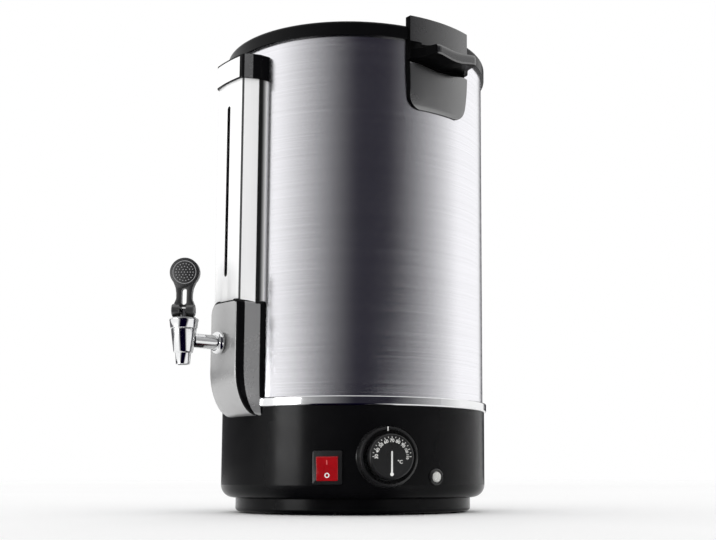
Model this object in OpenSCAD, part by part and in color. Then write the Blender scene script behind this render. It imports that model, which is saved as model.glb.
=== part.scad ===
// Electric hot water urn: double-walled steel body on a black base housing,
// with a sight gauge, a self-closing lever tap, two side handles and a lift-off lid.
// Millimetres, +Z up. The origin is the centre of the base on the table.
// The tap faces -Y and the handles stand at +X and -X.

/* [Body] */
// Outer radius of the steel jacket
jacket_r = 125.5; // [120:0.5:132]
// Thickness of the jacket's sheet
jacket_wall = 0.8; // [0.6:0.1:1.2]
// Length of jacket between the base housing and the collar
jacket_show = 333.2; // [325:0.2:350]
// How deep the jacket's lower edge sits in the base housing
jacket_seat = 3.4; // [2:0.2:6]
// Gap from the jacket's outer face in to the tank's outer face
tank_gap = 13.5; // [10.5:0.5:17.5]
// Thickness of the tank's sheet
tank_wall = 1; // [0.8:0.1:1.5]
// Height of the tank's floor above the table
tank_floor = 118; // [114:0.5:124]
// Radius of the tank's lower corner
tank_corner = 9; // [6:0.5:12]

/* [Base] */
// How far the base housing stands proud of the jacket
base_proud = 1.5; // [1:0.1:2.5]
// Height of the base housing's top edge
base_top = 95.4; // [92:0.2:102]
// Wall of the base housing
base_wall = 2.6; // [2:0.1:3.5]
// Radius of the housing's lower corner
base_fillet = 12; // [8:0.5:12]
// How far the foot pan stands in from the housing
foot_inset = 14; // [13:0.5:18]
// Height of the foot pan's top edge
foot_h = 14.2; // [12:0.2:17]
// Wall of the foot pan
pan_wall = 2.2; // [1.8:0.1:3]
// How far the rubber feet reach below the pan
pad_proud = 1.5; // [1:0.1:2]
// Radius of each rubber foot
pad_r = 9; // [7:0.5:11]
// How far the feet's centres stand in from the pan's edge
pad_inset = 21; // [19:0.5:29]
// How far the pan's screws stand in from its edge
screw_inset = 13; // [11:0.5:14]
// How far the trim band stands proud of the jacket
trim_proud = 3.5; // [2.5:0.1:4.5]
// Height of the trim band
trim_h = 8.3; // [7:0.1:10]

/* [Collar and lid] */
// How far the collar stands proud of the jacket
collar_proud = 3; // [2:0.1:4]
// Height of the collar
collar_h = 13.4; // [12.6:0.2:16]
// How far the filling mouth stands in from the tank's outer face
mouth_inset = 3; // [2:0.5:8]
// How far the lid's flange stands in from the collar's edge
lid_inset = 10.5; // [10:0.5:13.5]
// Thickness of the lid's sheet
lid_wall = 1; // [0.8:0.1:1.4]
// Rise of the lid's dome above its flange
lid_rise = 20; // [14:1:24]
// Radius of the lid's knob
knob_r = 20; // [16:0.5:24]
// Height of the lid's knob
knob_h = 24; // [20:0.5:28]
// Radius of each steam hole
steam_r = 2; // [1.5:0.1:2.5]

/* [Handles] */
// How far the handle's plate stands proud of the jacket
handle_proud = 6.5; // [5.5:0.1:8]
// Half width of the handle's plate at its top
handle_half = 35; // [33:0.5:38]
// Half width of the handle's plate at its bottom
handle_foot_half = 33; // [31:0.5:35]
// Height of the handle's plate below the collar's top
handle_drop = 77; // [72:0.5:84]
// Height of the handle's plate above the collar's top
handle_rise = 8.5; // [6:0.5:12]
// Depth of the plate's top where it runs back over the collar
handle_cap = 12; // [10:0.5:13]
// Radius of the plate's lower corners
handle_corner = 12; // [8:0.5:14]
// How far the grip reaches out from the jacket
grip_reach = 28.5; // [24:0.5:34]
// Half width of the grip's front
grip_half = 26; // [23:0.5:29]
// Height of the grip's top below the collar's top
grip_drop = 23; // [21:0.5:25]
// Thickness of the grip at its ends
grip_end = 9.4; // [8:0.2:10.4]
// How far the grip's top dips in the middle
grip_dip = 2.2; // [1:0.1:2.6]
// How much thicker the grip is in the middle
grip_belly = 3.5; // [2:0.5:4]
// Depth of the finger hollow below the grip
hollow_h = 11; // [10:0.5:12]
// How far the lower panel's edge rises at both sides
wave_h = 4; // [2:0.1:4.4]

/* [Sight gauge] */
// How far the gauge cover's front stands out from the jacket
gauge_proud = 19.5; // [17.5:0.5:22.5]
// Half width of the cover's front
gauge_half = 21.5; // [20:0.5:24]
// Half width of the cover's back
gauge_back_half = 27; // [25.5:0.5:29]
// Sheet of the cover
gauge_wall = 0.9; // [0.7:0.1:1.2]
// Crown of the cover's front
gauge_crown = 1.6; // [1:0.1:2.5]
// How far the back rail's front face stands out from the jacket
rail_proud = 5.5; // [4.5:0.5:7.5]
// Height of the slot's lower end
slot_bottom = 214; // [206:1:222]
// Distance of the slot's upper end below the cap
slot_gap = 22; // [15:1:50]
// Width of the slot
slot_w = 5; // [4:0.5:7]
// Radius of the gauge glass
glass_r = 5; // [4:0.5:6]
// Wall of the gauge glass
glass_wall = 1.2; // [1:0.1:1.5]
// Height of the gauge cap's lower edge below the collar's top
cap_drop = 47; // [43:0.5:52]
// Height of the gauge cap
cap_h = 23; // [20:0.5:26]
// How far cap and bracket stand proud of the cover
shroud_proud = 1.6; // [1.2:0.1:2.4]

/* [Tap bracket] */
// Height of the bracket's top
bracket_top = 190.6; // [187:0.2:200]
// Height where the bracket's chin begins
chin_top = 130; // [126:0.5:134]
// Radius of the chin
chin_r = 42; // [39:0.5:44]
// Wall of the bracket
bracket_wall = 2.2; // [1.8:0.1:3]

/* [Tap] */
// Distance of the tap's axis from the jacket
tap_reach = 61.5; // [56.5:0.5:69.5]
// Height of the tap's pipe
pipe_z = 153; // [150:0.5:156]
// Radius of the tap's pipe
pipe_r = 6.5; // [6:0.1:7]
// Radius of the threaded shank
shank_r = 4.5; // [4:0.1:4.8]
// Radius of the waterway through shank and spout
water_r = 3; // [2.5:0.1:3.4]
// Radius of the black nut
nut_r = 7; // [6.6:0.1:8]
// Length of the black nut
nut_len = 3; // [2.5:0.1:6]
// Radius of the chrome ring
ring_r = 10.2; // [9:0.1:12]
// Length of the chrome ring
ring_len = 5; // [4:0.5:6]
// Radius of the tap's cone at its top
cone_top_r = 11.2; // [10.8:0.1:12]
// Radius of the tap's cone at its bottom
cone_bottom_r = 8.2; // [7.8:0.1:9]
// Height of the cone's lower edge
cone_bottom = 141.5; // [140:0.5:143]
// Height of the cone's upper edge
cone_top = 162.6; // [161:0.2:164]
// Radius of the spout
spout_r = 6.9; // [6.5:0.1:7.4]
// Height of the spout's lower edge
spout_bottom = 131; // [127:0.5:134]
// Radius of the bonnet
bonnet_r = 12.7; // [12:0.1:13.5]
// Height of the bonnet
bonnet_h = 9; // [8:0.2:10]

/* [Tap lever] */
// Turn of the lever's face from the tap's outward direction
lever_turn = 50; // [0:5:90]
// Radius of the lever's pin
pin_r = 1.5; // [1.2:0.1:1.8]
// Radius of the lever's cam foot
cam_r = 5.6; // [5:0.1:5.8]
// Offset of the cam's centre from the pin
cam_offset = 3; // [2:0.1:3.2]
// Width of the lever's yoke
yoke_w = 19.5; // [18:0.5:22]
// Width of the gap between the yoke's cheeks
yoke_gap = 5.4; // [5:0.1:6]
// Narrowest width of the lever's neck
neck_w = 13.5; // [12:0.5:15]
// Radius of the lever's round head
head_r = 13; // [12:0.5:15]
// Height of the head's centre above the pin
head_rise = 34; // [32:0.5:38]
// Thickness of the lever
lever_t = 6.5; // [5.5:0.1:7]
// Radius of the tap's stem
stem_r = 2.4; // [2:0.1:2.5]

/* [Controls] */
// Direction of the dial seen from above
dial_angle = -23.5; // [-26:0.5:-20]
// Height of the dial
dial_z = 50.8; // [48:0.2:54]
// Outer radius of the dial's bezel
dial_r = 27; // [26:0.5:29]
// How far the dial's bezel stands out
dial_proud = 7; // [6:0.5:9]
// Radius of the thermostat knob
dial_knob_r = 20; // [18:0.5:21]
// How far the knob's face stands out from the housing
dial_knob_out = 15; // [13:0.5:17]
// Radius of the thermostat's shaft
dial_shaft_r = 3; // [2.5:0.1:3.5]
// Direction of the switch seen from above
switch_angle = -47; // [-49:0.5:-45]
// Height of the switch
switch_z = 41.5; // [38:0.5:48]
// Width of the switch's frame
switch_w = 25.7; // [24:0.1:27]
// Height of the switch's frame
switch_h = 29; // [28:0.2:32]
// Width of the rocker
rocker_w = 19; // [17:0.5:20]
// Height of the rocker
rocker_h = 23; // [21:0.5:24]
// Direction of the lamp seen from above
lamp_angle = -2; // [-4:0.5:2]
// Height of the lamp
lamp_z = 33.5; // [30:0.5:42]
// Radius of the lamp's rim
lamp_r = 7.5; // [6.5:0.1:8.5]
// Height of the power inlet at the back
inlet_z = 48; // [44:0.5:54]

/* [Hidden] */
seat = 0.1;            // clearance where one piece wraps another
run = 0.05;            // running fit round a pin or shaft
tank_r = jacket_r - tank_gap;
base_r = jacket_r + base_proud;
trim_r = jacket_r + trim_proud;
pan_r = base_r - foot_inset;
pad_ring = pan_r - pad_inset;
pan_screw_ring = pan_r - screw_inset;
collar_r = jacket_r + collar_proud;
mouth_r = tank_r - mouth_inset;
lid_r = collar_r - lid_inset;
collar_bottom = base_top + jacket_show;
collar_top = collar_bottom + collar_h;
collar_ledge = 6;                        // jacket's reach into the collar
jacket_bottom = base_top - jacket_seat;
jacket_top = collar_bottom + collar_ledge;
lip_t = 2.6;                             // housing's lower lip
lip_inner = pan_screw_ring - 4.6;
housing_inner = base_r - base_wall;
lid_seat = collar_top - 4;
dome_chord = lid_r - 6;
steam_ring = dome_chord - 42;
lid_top = lid_seat + lid_wall + lid_rise;
handle_r = jacket_r + handle_proud;
handle_top = collar_top + handle_rise;
handle_bottom = collar_top - handle_drop;
grip_top = collar_top - grip_drop;
grip_u = jacket_r + grip_reach;
hollow_top = grip_top - grip_end + 1;
hollow_bottom = hollow_top - hollow_h + grip_belly;
handle_screw_v = 18;
handle_screw_z = handle_bottom + 18;
screw_r = 1.75;
gauge_front = jacket_r + gauge_proud;
rail_front = jacket_r + rail_proud;
tap_u = jacket_r + tap_reach;
rail_half = gauge_back_half + 0.4;
shroud_front = gauge_front + shroud_proud;
shroud_half = gauge_half + shroud_proud;
shroud_back_half = gauge_back_half + shroud_proud;
cap_bottom = collar_top - cap_drop;
slot_top = cap_bottom - slot_gap;
cap_top = cap_bottom + cap_h;
cover_bottom = bracket_top - 9;
cover_top = cap_bottom + 5;
rail_bottom = chin_top + 2;
rail_top = cap_top - 6;
glass_u = gauge_front - gauge_wall - glass_r - 2.4;
glass_bottom = bracket_top + 6;
glass_top = cap_bottom - 4;
seal_h = 6;
elbow_z = bracket_top - 14;
shank_inner = tank_r - 8;
nut_u = shroud_front + gauge_crown;
ring_u = nut_u + nut_len;
pipe_u = ring_u + ring_len;
bonnet_top = cone_top + bonnet_h;
glide_t = 1;
glide_top = bonnet_top + seat + glide_t;
pin_z = glide_top + 0.3 + cam_r;
chamber_r = cone_bottom_r - 1.6;
chamber_floor = cone_bottom + 2;
stem_foot = chamber_floor + 3;
pan_floor = pad_proud + pan_wall;
dial_seat_u = base_r - 8;
inlet_w = 28;
inlet_h = 21;
inlet_depth = 19;
inlet_proud = 2.4;
inlet_screw_v = 20;
inlet_flange_w = inlet_w + 22;
inlet_flange_h = inlet_h + 4;
rocker_u = base_r - 6;
rocker_tip = 7;
face_depth = 8.2;
plate_r = tank_r - 28;
plate_t = 5;
coil_r = 4;
coil_ring = plate_r - 16;
bulb_outer = coil_ring - 10;
bulb_inner = bulb_outer - 44;

// ---------- helpers ----------

function unit(v) = v / norm(v);

// Corner points of a polygon, each turned into an arc of its own radius.
function rounded(pts, radii, steps = 6) = [
    for (i = [0:len(pts) - 1])
        let (b = pts[i],
             p = unit(pts[(i + len(pts) - 1) % len(pts)] - b),
             q = unit(pts[(i + 1) % len(pts)] - b),
             half = acos(max(-1, min(1, p * q))) / 2,
             o = b + unit(p + q) * radii[i] / sin(half),
             s = b + p * radii[i] / tan(half) - o,
             e = b + q * radii[i] / tan(half) - o,
             a0 = atan2(s.y, s.x),
             sweep = (atan2(e.y, e.x) - a0 + 540) % 360 - 180)
        each radii[i] == 0 ? [b]
            : [for (k = [0:steps]) o + radii[i] * [cos(a0 + sweep * k / steps), sin(a0 + sweep * k / steps)]]
];

// Places children built outward along +X at a direction seen from above.
module face_out(angle) {
    rotate([0, 0, angle]) children();
}

// A cylinder that runs outward along +X from u0 to u1.
module bar(u0, u1, r, v = 0, z = 0, fn = 48) {
    translate([u0, v, z]) rotate([0, 90, 0]) cylinder(r = r, h = u1 - u0, $fn = fn);
}

// A cone that runs outward along +X from u0 to u1.
module taper(u0, u1, r0, r1, z = 0, fn = 48) {
    translate([u0, 0, z]) rotate([0, 90, 0]) cylinder(r1 = r0, r2 = r1, h = u1 - u0, $fn = fn);
}

// A tube about the urn's axis.
module tube(r_out, r_in, z0, z1, fn = 180) {
    translate([0, 0, z0]) difference() {
        cylinder(r = r_out, h = z1 - z0, $fn = fn);
        translate([0, 0, -1]) cylinder(r = r_in, h = z1 - z0 + 2, $fn = fn);
    }
}

// A plain cylinder between two heights, used to fit pieces round the body.
module drum(r, z0, z1) {
    translate([0, 0, z0]) cylinder(r = r, h = z1 - z0, $fn = 180);
}

// An outline drawn across (v) and up (z), extruded outward from u0 to u1.
module front_view(u0, u1, pts) {
    translate([u0, 0, 0]) rotate([90, 0, 90]) linear_extrude(height = u1 - u0) polygon(pts);
}

// An outline drawn outward (u) and up (z), extruded across from -half to half.
module side_view(half, pts) {
    translate([0, half, 0]) rotate([90, 0, 0]) linear_extrude(height = 2 * half) polygon(pts);
}

// The space that the body fills, with the seating clearance.
module body_space() {
    drum(base_r + seat, 0, base_top);
    drum(trim_r + seat, base_top - seat, base_top + trim_h + seat);
    drum(jacket_r + seat, base_top, collar_bottom);
    drum(collar_r + seat, collar_bottom - seat, collar_top + seat);
}

// ---------- base ----------

// Section of the housing's skin: straight side, rounded lower corner and inward lip.
module housing_section() {
    difference() {
        union() {
            translate([0, foot_h]) square([base_r - base_fillet, lip_t + base_fillet]);
            translate([0, foot_h + base_fillet]) square([base_r, base_top - foot_h - base_fillet]);
            translate([base_r - base_fillet, foot_h + base_fillet]) circle(r = base_fillet, $fn = 64);
        }
        square([lip_inner, base_top + 1]);
        translate([0, foot_h + base_fillet]) square([housing_inner, base_top]);
        translate([0, foot_h + lip_t]) square([base_r - base_fillet, base_fillet]);
        translate([base_r - base_fillet, foot_h + base_fillet])
            circle(r = base_fillet - base_wall, $fn = 64);
        translate([0, jacket_bottom]) square([jacket_r + seat, base_top]);
    }
}

module base_housing() {
    color("#161616") difference() {
        union() {
            rotate_extrude($fn = 180) housing_section();
            for (a = [45:90:315])
                rotate([0, 0, a]) translate([pan_screw_ring, 0, pan_floor])
                    cylinder(r = 4.2, h = foot_h + lip_t - pan_floor, $fn = 32);
            face_out(dial_angle) bar(dial_seat_u, housing_inner + 1, 14, z = dial_z);
        }
        for (a = [45:90:315])
            rotate([0, 0, a]) translate([pan_screw_ring, 0, pan_floor - 1])
                cylinder(r = screw_r, h = 9, $fn = 32);
        face_out(dial_angle) bar(dial_seat_u - 1, base_r + 1, 5.2, z = dial_z);
        face_out(lamp_angle) bar(housing_inner - 3, base_r + 1, lamp_r - 1.6 + seat, z = lamp_z);
        face_out(switch_angle)
            translate([housing_inner - 6, -switch_w / 2 + 2 - seat, switch_z - switch_h / 2 + 1.5 - seat])
                cube([20, switch_w - 4 + 2 * seat, switch_h - 3 + 2 * seat]);
        face_out(90)
            translate([housing_inner - 6, -inlet_w / 2 - seat, inlet_z - inlet_h / 2 - seat])
                cube([20, inlet_w + 2 * seat, inlet_h + 2 * seat]);
        face_out(90) for (s = [-1, 1]) bar(housing_inner - 3, base_r + 1, screw_r, v = s * inlet_screw_v,
                                           z = inlet_z);
    }
}

module base_pan() {
    color("#141414") difference() {
        rotate_extrude($fn = 180) polygon(rounded(
            [[0, pad_proud], [pan_r, pad_proud], [pan_r, foot_h], [pan_r - pan_wall, foot_h],
             [pan_r - pan_wall, pan_floor], [0, pan_floor]], [0, 3, 0.4, 0.4, 1.5, 0]));
        for (a = [0:90:270])
            rotate([0, 0, a]) translate([pad_ring, 0, 0]) cylinder(r = 3, h = foot_h, $fn = 32);
        for (a = [45:90:315])
            rotate([0, 0, a]) translate([pan_screw_ring, 0, 0]) cylinder(r = screw_r + seat, h = foot_h, $fn = 32);
        for (a = [15:30:345])
            rotate([0, 0, a]) translate([34, -1.6, 0]) cube([18, 3.2, foot_h]);
    }
}

module rubber_feet() {
    color("#0d0d0d") for (a = [0:90:270])
        rotate([0, 0, a]) translate([pad_ring, 0, 0]) {
            cylinder(r1 = pad_r - 0.8, r2 = pad_r, h = pad_proud, $fn = 48);
            cylinder(r = 3 - seat, h = pan_floor + 0.4, $fn = 32);
            translate([0, 0, pan_floor]) cylinder(r1 = 4.6, r2 = 2.4, h = 4, $fn = 32);
        }
}

module base_screws() {
    color("silver") for (a = [45:90:315])
        rotate([0, 0, a]) translate([pan_screw_ring, 0, pad_proud - 1.2]) {
            difference() {
                cylinder(r = 3.4, h = 1.2, $fn = 32);
                for (t = [0, 90]) rotate([0, 0, t]) translate([-2, -0.4, -0.1]) cube([4, 0.8, 0.8]);
            }
            translate([0, 0, 1.2]) cylinder(r = screw_r - run, h = 9.4, $fn = 32);
        }
}

module trim_band() {
    color("silver") rotate_extrude($fn = 180) translate([0, base_top])
        polygon(rounded([[jacket_r + seat, 0], [trim_r, 0], [trim_r, trim_h], [jacket_r + seat, trim_h]],
                        [0, 1.4, 1.4, 0]));
}

// ---------- body ----------

module outer_jacket() {
    color("#b9bbbd") difference() {
        tube(jacket_r, jacket_r - jacket_wall, jacket_bottom, jacket_top);
        face_out(-90) bar(tank_r, handle_r, shank_r + 1.5, z = pipe_z);
        face_out(-90) bar(tank_r, handle_r, 4.6, z = elbow_z);
        for (a = [0, 180], s = [-1, 1])
            face_out(a) bar(tank_r, handle_r, screw_r + 0.3, v = s * handle_screw_v, z = handle_screw_z);
    }
}

module inner_tank() {
    color("#c9cbcc") difference() {
        rotate_extrude($fn = 180) {
            difference() {
                union() {
                    translate([0, tank_floor]) square([tank_r - tank_corner, tank_corner]);
                    translate([0, tank_floor + tank_corner])
                        square([tank_r, jacket_top - tank_floor - tank_corner]);
                    translate([tank_r - tank_corner, tank_floor + tank_corner]) circle(r = tank_corner, $fn = 64);
                }
                translate([-1, tank_floor + tank_wall]) square([tank_r - tank_corner + 1, tank_corner]);
                translate([-1, tank_floor + tank_corner])
                    square([tank_r - tank_wall + 1, jacket_top]);
                translate([tank_r - tank_corner, tank_floor + tank_corner])
                    circle(r = tank_corner - tank_wall, $fn = 64);
            }
            translate([tank_r - tank_wall, jacket_top])
                square([jacket_r - jacket_wall / 2 - tank_r + tank_wall, tank_wall]);
        }
        face_out(-90) bar(shank_inner, jacket_r, shank_r + 0.2, z = pipe_z);
        face_out(-90) bar(shank_inner, jacket_r, 3.9, z = elbow_z);
    }
}

module top_collar() {
    flange_top = jacket_top + tank_wall;
    color("#181818") rotate_extrude($fn = 180) difference() {
        polygon(rounded([[mouth_r, flange_top], [jacket_r + seat, flange_top], [jacket_r + seat, collar_bottom],
                         [collar_r, collar_bottom], [collar_r, collar_top], [mouth_r, collar_top]],
                        [0, 0, 0, 0.8, 3.2, 1.5]));
        translate([0, lid_seat]) square([lid_r + 0.4, collar_h]);
    }
}

// ---------- handles ----------

function wave(v) = wave_h * pow((1 - cos(180 * min(1, abs(v) / (0.92 * handle_half)))) / 2, 1.3);
function belly(v) = grip_belly * (1 + cos(180 * min(1, abs(v) / grip_half))) / 2;
function dip(v) = grip_dip * (1 + cos(180 * min(1, abs(v) / grip_half))) / 2;

// Curved plate seen from the front, with drafted sides and round lower corners.
module handle_plate() {
    knee = hollow_bottom;
    intersection() {
        tube(handle_r, jacket_r - 8, handle_bottom, handle_top);
        front_view(jacket_r - 14, handle_r + 2, rounded(
            [[-handle_half, handle_top], [-handle_half, knee], [-handle_foot_half, handle_bottom],
             [handle_foot_half, handle_bottom], [handle_half, knee], [handle_half, handle_top]],
            [1.2, 0, handle_corner, handle_corner, 0, 1.2]));
    }
}

// Grip: a wavy bar that flares out of the plate at both ends.
module handle_grip() {
    root_half = handle_half - 0.6;
    vs = [for (k = [-20:20]) k * handle_half / 20];
    intersection() {
        front_view(jacket_r - 5, grip_u + 1, concat(
            [for (v = vs) [v, grip_top - dip(v)]],
            [for (k = [len(vs) - 1:-1:0]) [vs[k], grip_top - grip_end - belly(vs[k])]]));
        translate([0, 0, hollow_bottom]) linear_extrude(height = 60) polygon(rounded(
            [[jacket_r - 6, -root_half], [handle_r + 1.5, -root_half], [handle_r + 8, -grip_half - 1],
             [grip_u, -grip_half], [grip_u, grip_half], [handle_r + 8, grip_half + 1],
             [handle_r + 1.5, root_half], [jacket_r - 6, root_half]],
            [0, 1.5, 5, 5, 5, 5, 1.5, 0]));
    }
}

// Finger hollow between the grip and the lower panel, whose edge rises at both sides.
module finger_hollow() {
    vs = [for (k = [-20:20]) k * (handle_half + 2) / 20];
    difference() {
        front_view(jacket_r - 4, handle_r + 3, concat(
            [for (v = vs) [v, hollow_bottom + wave(v)]],
            [[handle_half + 2, hollow_top], [-handle_half - 2, hollow_top]]));
        drum(jacket_r + 2.4, hollow_bottom - 2, hollow_top + 2);
    }
}

module handle() {
    color("#1b1b1b") difference() {
        union() {
            difference() {
                handle_plate();
                finger_hollow();
            }
            handle_grip();
        }
        body_space();
        drum(handle_r - handle_cap, collar_top, handle_top + 1);
        for (s = [-1, 1]) bar(jacket_r - 6, handle_r - 3, screw_r, v = s * handle_screw_v, z = handle_screw_z);
    }
}

module handle_right() { face_out(0) handle(); }

module handle_left() { face_out(180) handle(); }

module handle_screws() {
    color("silver") for (a = [0, 180], s = [-1, 1]) face_out(a) {
        head_u = sqrt(pow(jacket_r - jacket_wall, 2) - pow(handle_screw_v + 3.5, 2)) - 0.05;
        bar(head_u - 2.2, head_u, 3.5, v = s * handle_screw_v, z = handle_screw_z, fn = 32);
        bar(head_u, handle_r - 3.6, screw_r - run, v = s * handle_screw_v, z = handle_screw_z, fn = 32);
    }
}

// ---------- sight gauge ----------

// Crowned front edge seen from above.
function crown_arc(front, half) = [for (k = [-4:4]) [front + gauge_crown * (1 - k * k / 16), k * half / 4]];

// Cover seen from above: crowned front and slanted sides, open at the rail.
function cover_outline(inset, back) = rounded(
    concat([[back, inset * 1.07 - gauge_back_half]], crown_arc(gauge_front - inset, gauge_half - inset),
           [[back, gauge_back_half - inset * 1.07]]),
    concat([0, 2.4 - inset], [for (k = [-3:3]) 0], [2.4 - inset, 0]));

// Cap or bracket seen from above: the cover's form with straight cheeks that run back to the jacket.
function shell_outline(front, half, back_half, corner) = rounded(
    concat([[jacket_r - 12, -back_half], [rail_front, -back_half]], crown_arc(front, half),
           [[rail_front, back_half], [jacket_r - 12, back_half]]),
    concat([0, corner / 2, corner], [for (k = [-3:3]) 0], [corner, corner / 2, 0]));

module gauge_rail() {
    color("#151515") difference() {
        translate([0, 0, rail_bottom]) linear_extrude(height = rail_top - rail_bottom)
            polygon([[jacket_r - 10, -rail_half], [rail_front, -rail_half],
                     [rail_front, rail_half], [jacket_r - 10, rail_half]]);
        body_space();
        translate([glass_u, 0, elbow_z - 9]) cylinder(r = glass_r + 4.2, h = cap_top, $fn = 48);
        bar(jacket_r - 6, rail_front + 1, 5.2, z = elbow_z);
        bar(jacket_r - 6, rail_front + 1, shank_r + 0.3, z = pipe_z);
    }
}

module gauge_rail_placed() { face_out(-90) gauge_rail(); }

module gauge_cover() {
    color("#d6d8da") face_out(-90) difference() {
        translate([0, 0, cover_bottom]) linear_extrude(height = cover_top - cover_bottom) difference() {
            polygon(cover_outline(0, rail_front));
            polygon(cover_outline(gauge_wall, rail_front - 1));
        }
        translate([gauge_front - 6, -slot_w / 2, slot_bottom + slot_w / 2])
            cube([12, slot_w, slot_top - slot_bottom - slot_w]);
        for (z = [slot_bottom + slot_w / 2, slot_top - slot_w / 2])
            bar(gauge_front - 6, gauge_front + 6, slot_w / 2, z = z);
    }
}

// Solid outline that the cap and the bracket share.
module shroud(z0, z1, corner, inset = 0) {
    translate([0, 0, z0]) linear_extrude(height = z1 - z0)
        polygon(shell_outline(shroud_front - inset, shroud_half - inset, shroud_back_half - inset, corner));
}

// Clear way for the cover and the rail through the cap and the bracket.
module column_way(z0, z1) {
    translate([0, 0, z0]) linear_extrude(height = z1 - z0)
        polygon(shell_outline(gauge_front + seat, gauge_half + seat, rail_half + seat, 2.4));
}

module gauge_cap() {
    color("#1a1a1a") face_out(-90) difference() {
        intersection() {
            shroud(cap_bottom, cap_top, 4);
            side_view(shroud_back_half + 5, rounded(
                [[jacket_r - 12, cap_bottom], [shroud_front + 4, cap_bottom], [shroud_front + 4, cap_top - 1.5],
                 [rail_front + 6, cap_top], [jacket_r - 12, cap_top]], [0, 0.5, 2, 8, 0]));
        }
        column_way(cap_bottom - 1, cover_top + seat);
        rail_space(cap_bottom - 1, rail_top + seat);
        body_space();
        cap_plate_space(seat);
    }
}

// Recess for the bright plate on the cap's face.
module cap_plate_space(clear) {
    z0 = cap_bottom + 1.2 - clear;
    front_view(shroud_front - 0.9 - clear, shroud_front + 6, rounded(
        [[-shroud_half + 1 - clear, z0], [shroud_half - 1 + clear, z0],
         [shroud_half - 1 + clear, cap_top - 2.6 + clear], [-shroud_half + 1 - clear, cap_top - 2.6 + clear]],
        [1.5, 1.5, 3, 3]));
}

module cap_plate() {
    color("#dcdee0") face_out(-90) difference() {
        intersection() {
            shroud(cap_bottom, cap_top, 2);
            cap_plate_space(0);
        }
        column_way(cap_bottom - 1, cover_top + seat);
    }
}

module gauge_glass() {
    color("#cfe6ea", 0.5) face_out(-90) translate([glass_u, 0, 0])
        tube(glass_r, glass_r - glass_wall, glass_bottom, glass_top, 48);
}

module gauge_seals() {
    color("#d9d9d2") face_out(-90) translate([glass_u, 0, 0]) {
        difference() {
            translate([0, 0, glass_bottom - 4]) cylinder(r = glass_r + 1.6, h = 4 + seal_h, $fn = 48);
            translate([0, 0, glass_bottom]) cylinder(r = glass_r + 0.02, h = seal_h + 1, $fn = 48);
            translate([0, 0, glass_bottom - 5]) cylinder(r = 2.6, h = 6, $fn = 48);
        }
        difference() {
            translate([0, 0, glass_top - seal_h]) cylinder(r = glass_r + 1.6, h = cover_top - glass_top + seal_h,
                                                           $fn = 48);
            translate([0, 0, glass_top - seal_h - 1]) cylinder(r = glass_r + 0.02, h = seal_h + 1, $fn = 48);
            translate([0, 0, glass_top - 1]) cylinder(r = 1.6, h = 30, $fn = 48);
        }
    }
}

module gauge_elbow() {
    color("#c3c5c7") face_out(-90) difference() {
        union() {
            bar(tank_r - 3, glass_u, 3.8, z = elbow_z);
            translate([glass_u, 0, elbow_z - 5]) cylinder(r = 6.2, h = glass_bottom - 4 - elbow_z + 5, $fn = 48);
            translate([glass_u, 0, glass_bottom - 4]) cylinder(r = 2.5, h = 3, $fn = 48);
        }
        bar(tank_r - 4, glass_u, 2.2, z = elbow_z);
        translate([glass_u, 0, elbow_z]) cylinder(r = 1.6, h = 40, $fn = 32);
    }
}

// ---------- tap bracket ----------

// Side view of the bracket: rounded top edge, flat front and a chin that curves back to the base.
function bracket_side(inset) = concat(
    [[jacket_r - 14, bracket_top - inset], [nut_u - inset - 2.5, bracket_top - inset],
     [nut_u - inset - 0.7, bracket_top - inset - 0.7], [nut_u - inset, bracket_top - inset - 2.5]],
    [for (k = [0:10]) let (a = -k * 8.2)
        [nut_u - chin_r + (chin_r - inset) * cos(a), chin_top + (chin_r - inset) * sin(a)]],
    [[jacket_r - 14, chin_top - chin_r + inset]]);

// Space that the rail takes inside the cap and the bracket.
module rail_space(z0, z1) {
    translate([0, 0, z0]) linear_extrude(height = z1 - z0)
        polygon([[jacket_r - 12, -rail_half - seat], [rail_front + seat, -rail_half - seat],
                 [rail_front + seat, rail_half + seat], [jacket_r - 12, rail_half + seat]]);
}

module tap_bracket() {
    color("#1c1c1c") face_out(-90) difference() {
        intersection() {
            shroud(chin_top - chin_r - 1, bracket_top, 7);
            side_view(shroud_back_half + 5, bracket_side(0));
            front_view(jacket_r - 14, tap_u, rounded(
                [[-shroud_back_half - 1, 0], [shroud_back_half + 1, 0],
                 [shroud_back_half, bracket_top], [-shroud_back_half, bracket_top]], [0, 0, 9, 9]));
        }
        intersection() {
            shroud(chin_top - chin_r, bracket_top - bracket_wall, 5, bracket_wall);
            side_view(shroud_back_half + 5, bracket_side(bracket_wall));
        }
        body_space();
        rail_space(rail_bottom - seat, bracket_top + 1);
        column_way(cover_bottom - 1, bracket_top + 1);
        bar(jacket_r, shroud_front + 6, shank_r + 0.3, z = pipe_z);
    }
}

// ---------- tap ----------

module tap_shank() {
    color("silver") face_out(-90) difference() {
        bar(shank_inner, pipe_u + 4, shank_r, z = pipe_z);
        bar(shank_inner - 1, pipe_u + 5, water_r, z = pipe_z);
    }
}

module tap_washers() {
    color("#b5442e") face_out(-90) for (u = [tank_r - tank_wall - 2.6, tank_r + 0.1])
        difference() {
            bar(u, u + 2.1, 8.5, z = pipe_z);
            bar(u - 1, u + 4, shank_r + run, z = pipe_z);
        }
}

module tap_tank_nuts() {
    color("silver") face_out(-90) for (u = [tank_r - tank_wall - 6.6, tank_r + 2.3]) difference() {
        bar(u, u + 3.9, 9, z = pipe_z, fn = 6);
        bar(u - 1, u + 5, shank_r + run, z = pipe_z);
    }
}

module tap_nut() {
    color("#111111") face_out(-90) difference() {
        taper(nut_u, ring_u, nut_r + 0.8, nut_r, z = pipe_z);
        bar(jacket_r, ring_u + 1, shank_r + run, z = pipe_z);
    }
}

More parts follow.
